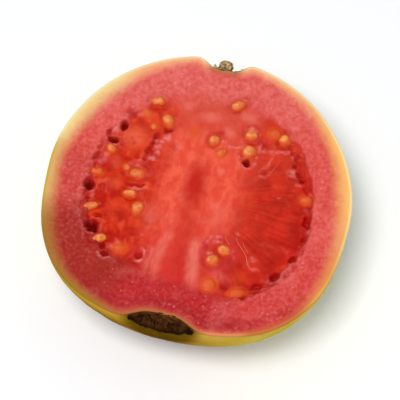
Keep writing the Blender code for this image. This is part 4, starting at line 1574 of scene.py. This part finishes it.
class GUAVA_OT_seeds(bpy.types.Operator):
    """Makes the seeds, each with its own mesh, and seats them in the pulp"""

    bl_idname = "guava.seeds"
    bl_label = "Seeds"

    def execute(self, context):
        material = seed_material(context.scene.guava_colours)
        chance = random.Random(SEED_DRAW)
        for number, row in enumerate(SEEDS, 1):
            deselect()
            bpy.ops.mesh.primitive_ico_sphere_add(subdivisions=4, radius=1)
            seed = context.object
            points = self.shape(seed, row, context.scene.guava_sizes, chance, number in DOUBLE_SEEDS)
            self.seat(points, row, context.scene.guava_sizes)
            place_round_centre(seed, points)
            finished(seed, f"seed_{number:02d}", material, ("fruit_half",))
        return {"FINISHED"}

    def shape(self, seed, row, sizes, chance, waisted):
        """Stores a seed's veil and returns its points: an egg with facets, roughened, turned and tilted. The
        veil also holds painted shade on the side away from the light.
        """
        _, _, length, width, turn, veil = row
        height = sizes.seed_height / MM * (0.82 + 0.18 * width / 3.0) * chance.uniform(0.94, 1.06)
        shift = Vector([chance.uniform(0, 50) for _ in range(3)])
        tilt = Matrix.Rotation(math.radians(chance.uniform(-SEED_TILT, SEED_TILT)), 3, "Y")
        turning = Matrix.Rotation(math.radians(turn), 3, "Z") @ tilt
        facets = [Vector([chance.gauss(0, 1) for _ in range(3)]).normalized() for _ in range(SEED_FACETS)]
        blunt = chance.choice((-1, 1)) * chance.uniform(0.08, 0.2)
        # The bare top leans to the upper left, towards the light, and the veil grows away from it: painted
        # light and shade on top of the pulp that veils the sides.
        bare = Vector((chance.uniform(-0.4, 0.0), chance.uniform(0.0, 0.3), 0.9)).normalized()
        points = points_of(seed)
        ups = np.empty(len(points))
        for k, point in enumerate(points):
            direction = Vector(point)
            place = direction * seed_reach(direction, shift, facets, waisted)
            place.y *= 1 + blunt * place.x
            place = Vector((place.x * length, place.y * width, place.z * height)) * SEED_SIZE / 2
            points[k] = turning @ place
            ups[k] = (turning @ direction).dot(bare)
        veiled_and_shaded_side = 0.95 * smooths(0.99, 0.42, ups)
        patches = np.array([noise.noise(Vector(point) * 0.9 + shift) for point in points])
        set_mask(seed, "veil", np.maximum(veil, veiled_and_shaded_side) + 0.6 * min(veil, 0.0) + 0.35 * patches)
        return points

    def seat(self, points, row, sizes):
        """Moves a seed's points to its seat on the pulp."""
        x, y, *_, veil = row
        ground = float(np.median([height_at(x + u, y + v) for u, v in SEED_SEAT]))
        seat = ground + sizes.seed_rise / MM - SEED_SINK * veil
        points += (x, y, min(seat, SEED_TOP - points[:, 2].max()))


def curve_value(before, start, end, after, share):
    """A smooth curve's value a share of the way from start to end."""
    bend = 2 * before - 5 * start + 4 * end - after
    swing = 3 * start - before - 3 * end + after
    return 0.5 * (2 * start + (end - before) * share + bend * share * share + swing * share**3)


class GUAVA_OT_fibres(bpy.types.Operator):
    """Lays the strands of fibre over the pulp"""

    bl_idname = "guava.fibres"
    bl_label = "Fibres"

    def execute(self, context):
        deselect()
        bpy.ops.curve.primitive_nurbs_path_add()
        strands = context.object
        strands.data.splines.clear()
        for radius, points in FIBRES:
            places = self.laid(points, radius)
            spline = strands.data.splines.new("POLY")
            spline.points.add(len(places) - 1)
            for k, (point, place) in enumerate(zip(spline.points, places)):
                share = k / (len(places) - 1)
                point.co = (*place, 1)
                swell = math.sin(math.pi * (0.1 + 0.8 * share)) ** 0.5
                point.radius = radius * (0.35 + 0.65 * swell)
        strands.data.dimensions = "3D"
        strands.data.bevel_depth = MM
        strands.data.bevel_resolution = 3
        strands.data.use_fill_caps = True
        bpy.ops.object.convert(target="MESH")
        strands = context.object
        recalculate(strands, gap=1e-7)
        finished(strands, "fibres", fibre_material(context.scene.guava_colours))
        return {"FINISHED"}

    def laid(self, points, radius):
        """Points close together along a smooth line, laid on the cut face."""
        ends = [points[0], *points, points[-1]]
        flat = [
            [curve_value(*values, k / FIBRE_STEPS) for values in zip(*stretch)]
            for stretch in zip(ends, ends[1:], ends[2:], ends[3:])
            for k in range(FIBRE_STEPS)
        ]
        xs, ys = np.array([*flat, points[-1]]).T
        heights, _ = cut_face(xs, ys)
        padded = np.pad(heights, FIBRE_LEVELLING // 2, mode="edge")
        level = np.convolve(padded, np.ones(FIBRE_LEVELLING) / FIBRE_LEVELLING, mode="valid")
        return [CENTRE + MM * Vector((x, y, z + FIBRE_SEAT * radius)) for x, y, z in zip(xs, ys, level)]


class GUAVA_OT_stem_stub(bpy.types.Operator):
    """Makes the knobbly woody stub that is left of the stem"""

    bl_idname = "guava.stem_stub"
    bl_label = "Stem stub"

    def execute(self, context):
        sizes = context.scene.guava_sizes
        low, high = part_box("stem_stub")
        middle = Vector(((low.x + high.x) / 2, 0, (low.z + high.z) / 2))
        base = high.y - sizes.stub_length
        lobes = []
        for x, share, z, *reaches in STUB_LOBES:
            deselect()
            bpy.ops.mesh.primitive_uv_sphere_add(
                segments=40,
                ring_count=24,
                radius=1,
                location=middle + Vector((x * MM, base + share * sizes.stub_length, z * MM)),
                scale=[reach * MM for reach in reaches],
            )
            lobes.append(context.object)
        stub = joined(lobes)
        modifier(stub, "REMESH", mode="VOXEL", voxel_size=STUB_VOXEL * MM)
        modifier(stub, "SMOOTH", factor=0.5, iterations=4)
        points = points_of(stub)
        normals = np.empty(len(points) * 3)
        stub.data.vertices.foreach_get("normal", normals)
        for k, (point, normal) in enumerate(zip(points, normals.reshape(-1, 3))):
            points[k] = point + normal * bumps(Vector(point) / MM, STUB_KNOBS) * MM
        points[:, 1] = np.minimum(points[:, 1], high.y)
        set_points(stub, points)
        material = stub_material(context.scene.guava_colours)
        finished(stub, "stem_stub_bark", material, ("stem_stub",))
        return {"FINISHED"}


def basin_point(away, around):
    """The skin's point at the calyx end, at a distance from the axis and an angle round it in radians. It is
    found by aiming at a first guess and correcting the aim."""
    x = AXIS_OFFSET + away * math.cos(around)
    z = -away * math.sin(around)
    y = -CALYX_REACH
    for _ in range(BASIN_TRIES):
        y = skin_along(Vector((x, y, z)).normalized()).y
    return Vector((x, y, z))


def sepal_share(around):
    """How much of a sepal's full length there is at an angle in radians."""
    lengths = []
    for middle, half, longest in SEPALS:
        away = abs(math.degrees(around) - middle) / half
        lengths.append(max(0.0, 1 - away) ** 0.6 * longest)
    return max(lengths)


def calyx_hem(around):
    """The calyx's ragged hem at an angle in radians: coarse and fine waves."""
    coarse = noise.noise(Vector((around * 9, 0.0, 3.0)))
    fine = noise.noise(Vector((around * 25, 0.0, 5.0)))
    return 0.5 * coarse + 0.3 * fine


class GUAVA_OT_calyx(bpy.types.Operator):
    """Makes the dried calyx: a wrinkled disc, curled sepals and the stubs of its stamens"""

    bl_idname = "guava.calyx"
    bl_label = "Calyx"

    def execute(self, context):
        deselect()
        bpy.ops.mesh.primitive_grid_add(x_subdivisions=CALYX_SPOKES, y_subdivisions=CALYX_RINGS, size=2)
        disc = context.object
        self.shape_disc(disc, context.scene.guava_sizes.sepal_curl / MM)
        recalculate(disc, gap=0.002)
        modifier(disc, "SOLIDIFY", thickness=CALYX_THICKNESS, offset=0, use_rim=True)
        calyx = joined([*self.stamens(context), disc])
        points = points_of(calyx)
        points[:, 2] = np.minimum(points[:, 2], 0)
        points[:, 1] = np.maximum(points[:, 1], (CAD_BOX[0].y - CENTRE.y) / MM)
        place_round_centre(calyx, points)
        material = calyx_material(context.scene.guava_colours)
        finished(calyx, "dried_calyx", material, ("calyx",), angle=50)
        return {"FINISHED"}

    def shape_disc(self, disc, curl):
        """Bends a square grid into the half disc with its sepals, and marks how black the tips are: their own
        dark colour with painted shade under the curled sepals.
        """
        points = points_of(disc)
        tips = np.empty(len(points))
        for k, (u, v, _) in enumerate(points):
            around = math.pi * (u + 1) / 2
            sepal = sepal_share(around)
            ragged = calyx_hem(around)
            reach = CALYX_DISC + (SEPAL_LENGTH + 0.5 * ragged) * sepal + 0.2 * ragged
            away = (v + 1) / 2 * reach
            place = basin_point(away, around)
            lift = smooth(CALYX_DISC - 2.2, CALYX_DISC + SEPAL_LENGTH, away)
            wrinkle = 0.22 * noise.noise(Vector((around * 12, away / 3, 7.0))) * smooth(0.5, 3, away)
            wrinkle += 0.16 * noise.noise(place / 0.8)
            place.y -= CALYX_LIFT + wrinkle + curl * lift * (0.35 + 0.65 * min(1.0, sepal))
            place.z = min(place.z, 0.0)
            points[k] = place
            tips[k] = smooth(0.78, 1.05, away / CALYX_DISC) + 0.4 * ragged
        set_points(disc, points)
        set_mask(disc, "tip", tips)

    def stamens(self, context):
        """Short tapered stubs that stand in a ring on the disc."""
        chance = random.Random(STAMEN_DRAW)
        made = []
        for _ in range(STAMENS):
            around = math.radians(chance.uniform(*STAMEN_BEARINGS))
            foot = basin_point(chance.uniform(*STAMEN_RING), around)
            lean = Vector((chance.uniform(-0.6, 0.6), -1.0, chance.uniform(-0.3, 0.6))).normalized()
            tall = chance.uniform(*STAMEN_LENGTHS)
            deselect()
            bpy.ops.mesh.primitive_cone_add(
                vertices=7,
                radius1=STAMEN_RADII[0],
                radius2=STAMEN_RADII[1],
                depth=tall + STAMEN_ROOT,
                location=foot + lean * (tall / 2 + STAMEN_ROOT / 2),
                rotation=lean.to_track_quat("Z", "Y").to_euler(),
            )
            stamen = context.object
            bpy.ops.object.transform_apply(location=True, rotation=True, scale=True)
            set_mask(stamen, "tip", np.full(len(stamen.data.vertices), chance.choice((0.0, 0.5, 1.0))))
            made.append(stamen)
        return made


class GUAVA_PT_panel(bpy.types.Panel):
    """Lists the guava's pieces, sizes and colours"""

    bl_idname = "GUAVA_PT_panel"
    bl_label = "Guava Half"
    bl_space_type = "VIEW_3D"
    bl_region_type = "UI"
    bl_category = "Guava"

    def draw(self, context):
        for operator in OPERATORS:
            self.layout.operator(operator.bl_idname)
        for group in (context.scene.guava_sizes, context.scene.guava_colours):
            column = self.layout.column(align=True)
            for name in group.__annotations__:
                column.prop(group, name)


OPERATORS = (
    GUAVA_OT_stage,
    GUAVA_OT_flesh,
    GUAVA_OT_skin,
    GUAVA_OT_seeds,
    GUAVA_OT_fibres,
    GUAVA_OT_stem_stub,
    GUAVA_OT_calyx,
)
CLASSES = (GuavaSizes, GuavaColours, *OPERATORS, GUAVA_PT_panel)


def register():
    for item in CLASSES:
        bpy.utils.register_class(item)
    bpy.types.Scene.guava_sizes = bpy.props.PointerProperty(type=GuavaSizes)
    bpy.types.Scene.guava_colours = bpy.props.PointerProperty(type=GuavaColours)


def unregister():
    del bpy.types.Scene.guava_colours
    del bpy.types.Scene.guava_sizes
    for item in reversed(CLASSES):
        bpy.utils.unregister_class(item)


def main():
    """Makes every piece."""
    register()
    bpy.ops.guava.stage()
    bpy.ops.guava.flesh()
    bpy.ops.guava.skin()
    bpy.ops.guava.seeds()
    bpy.ops.guava.fibres()
    bpy.ops.guava.stem_stub()
    bpy.ops.guava.calyx()


if __name__ == "__main__":
    main()
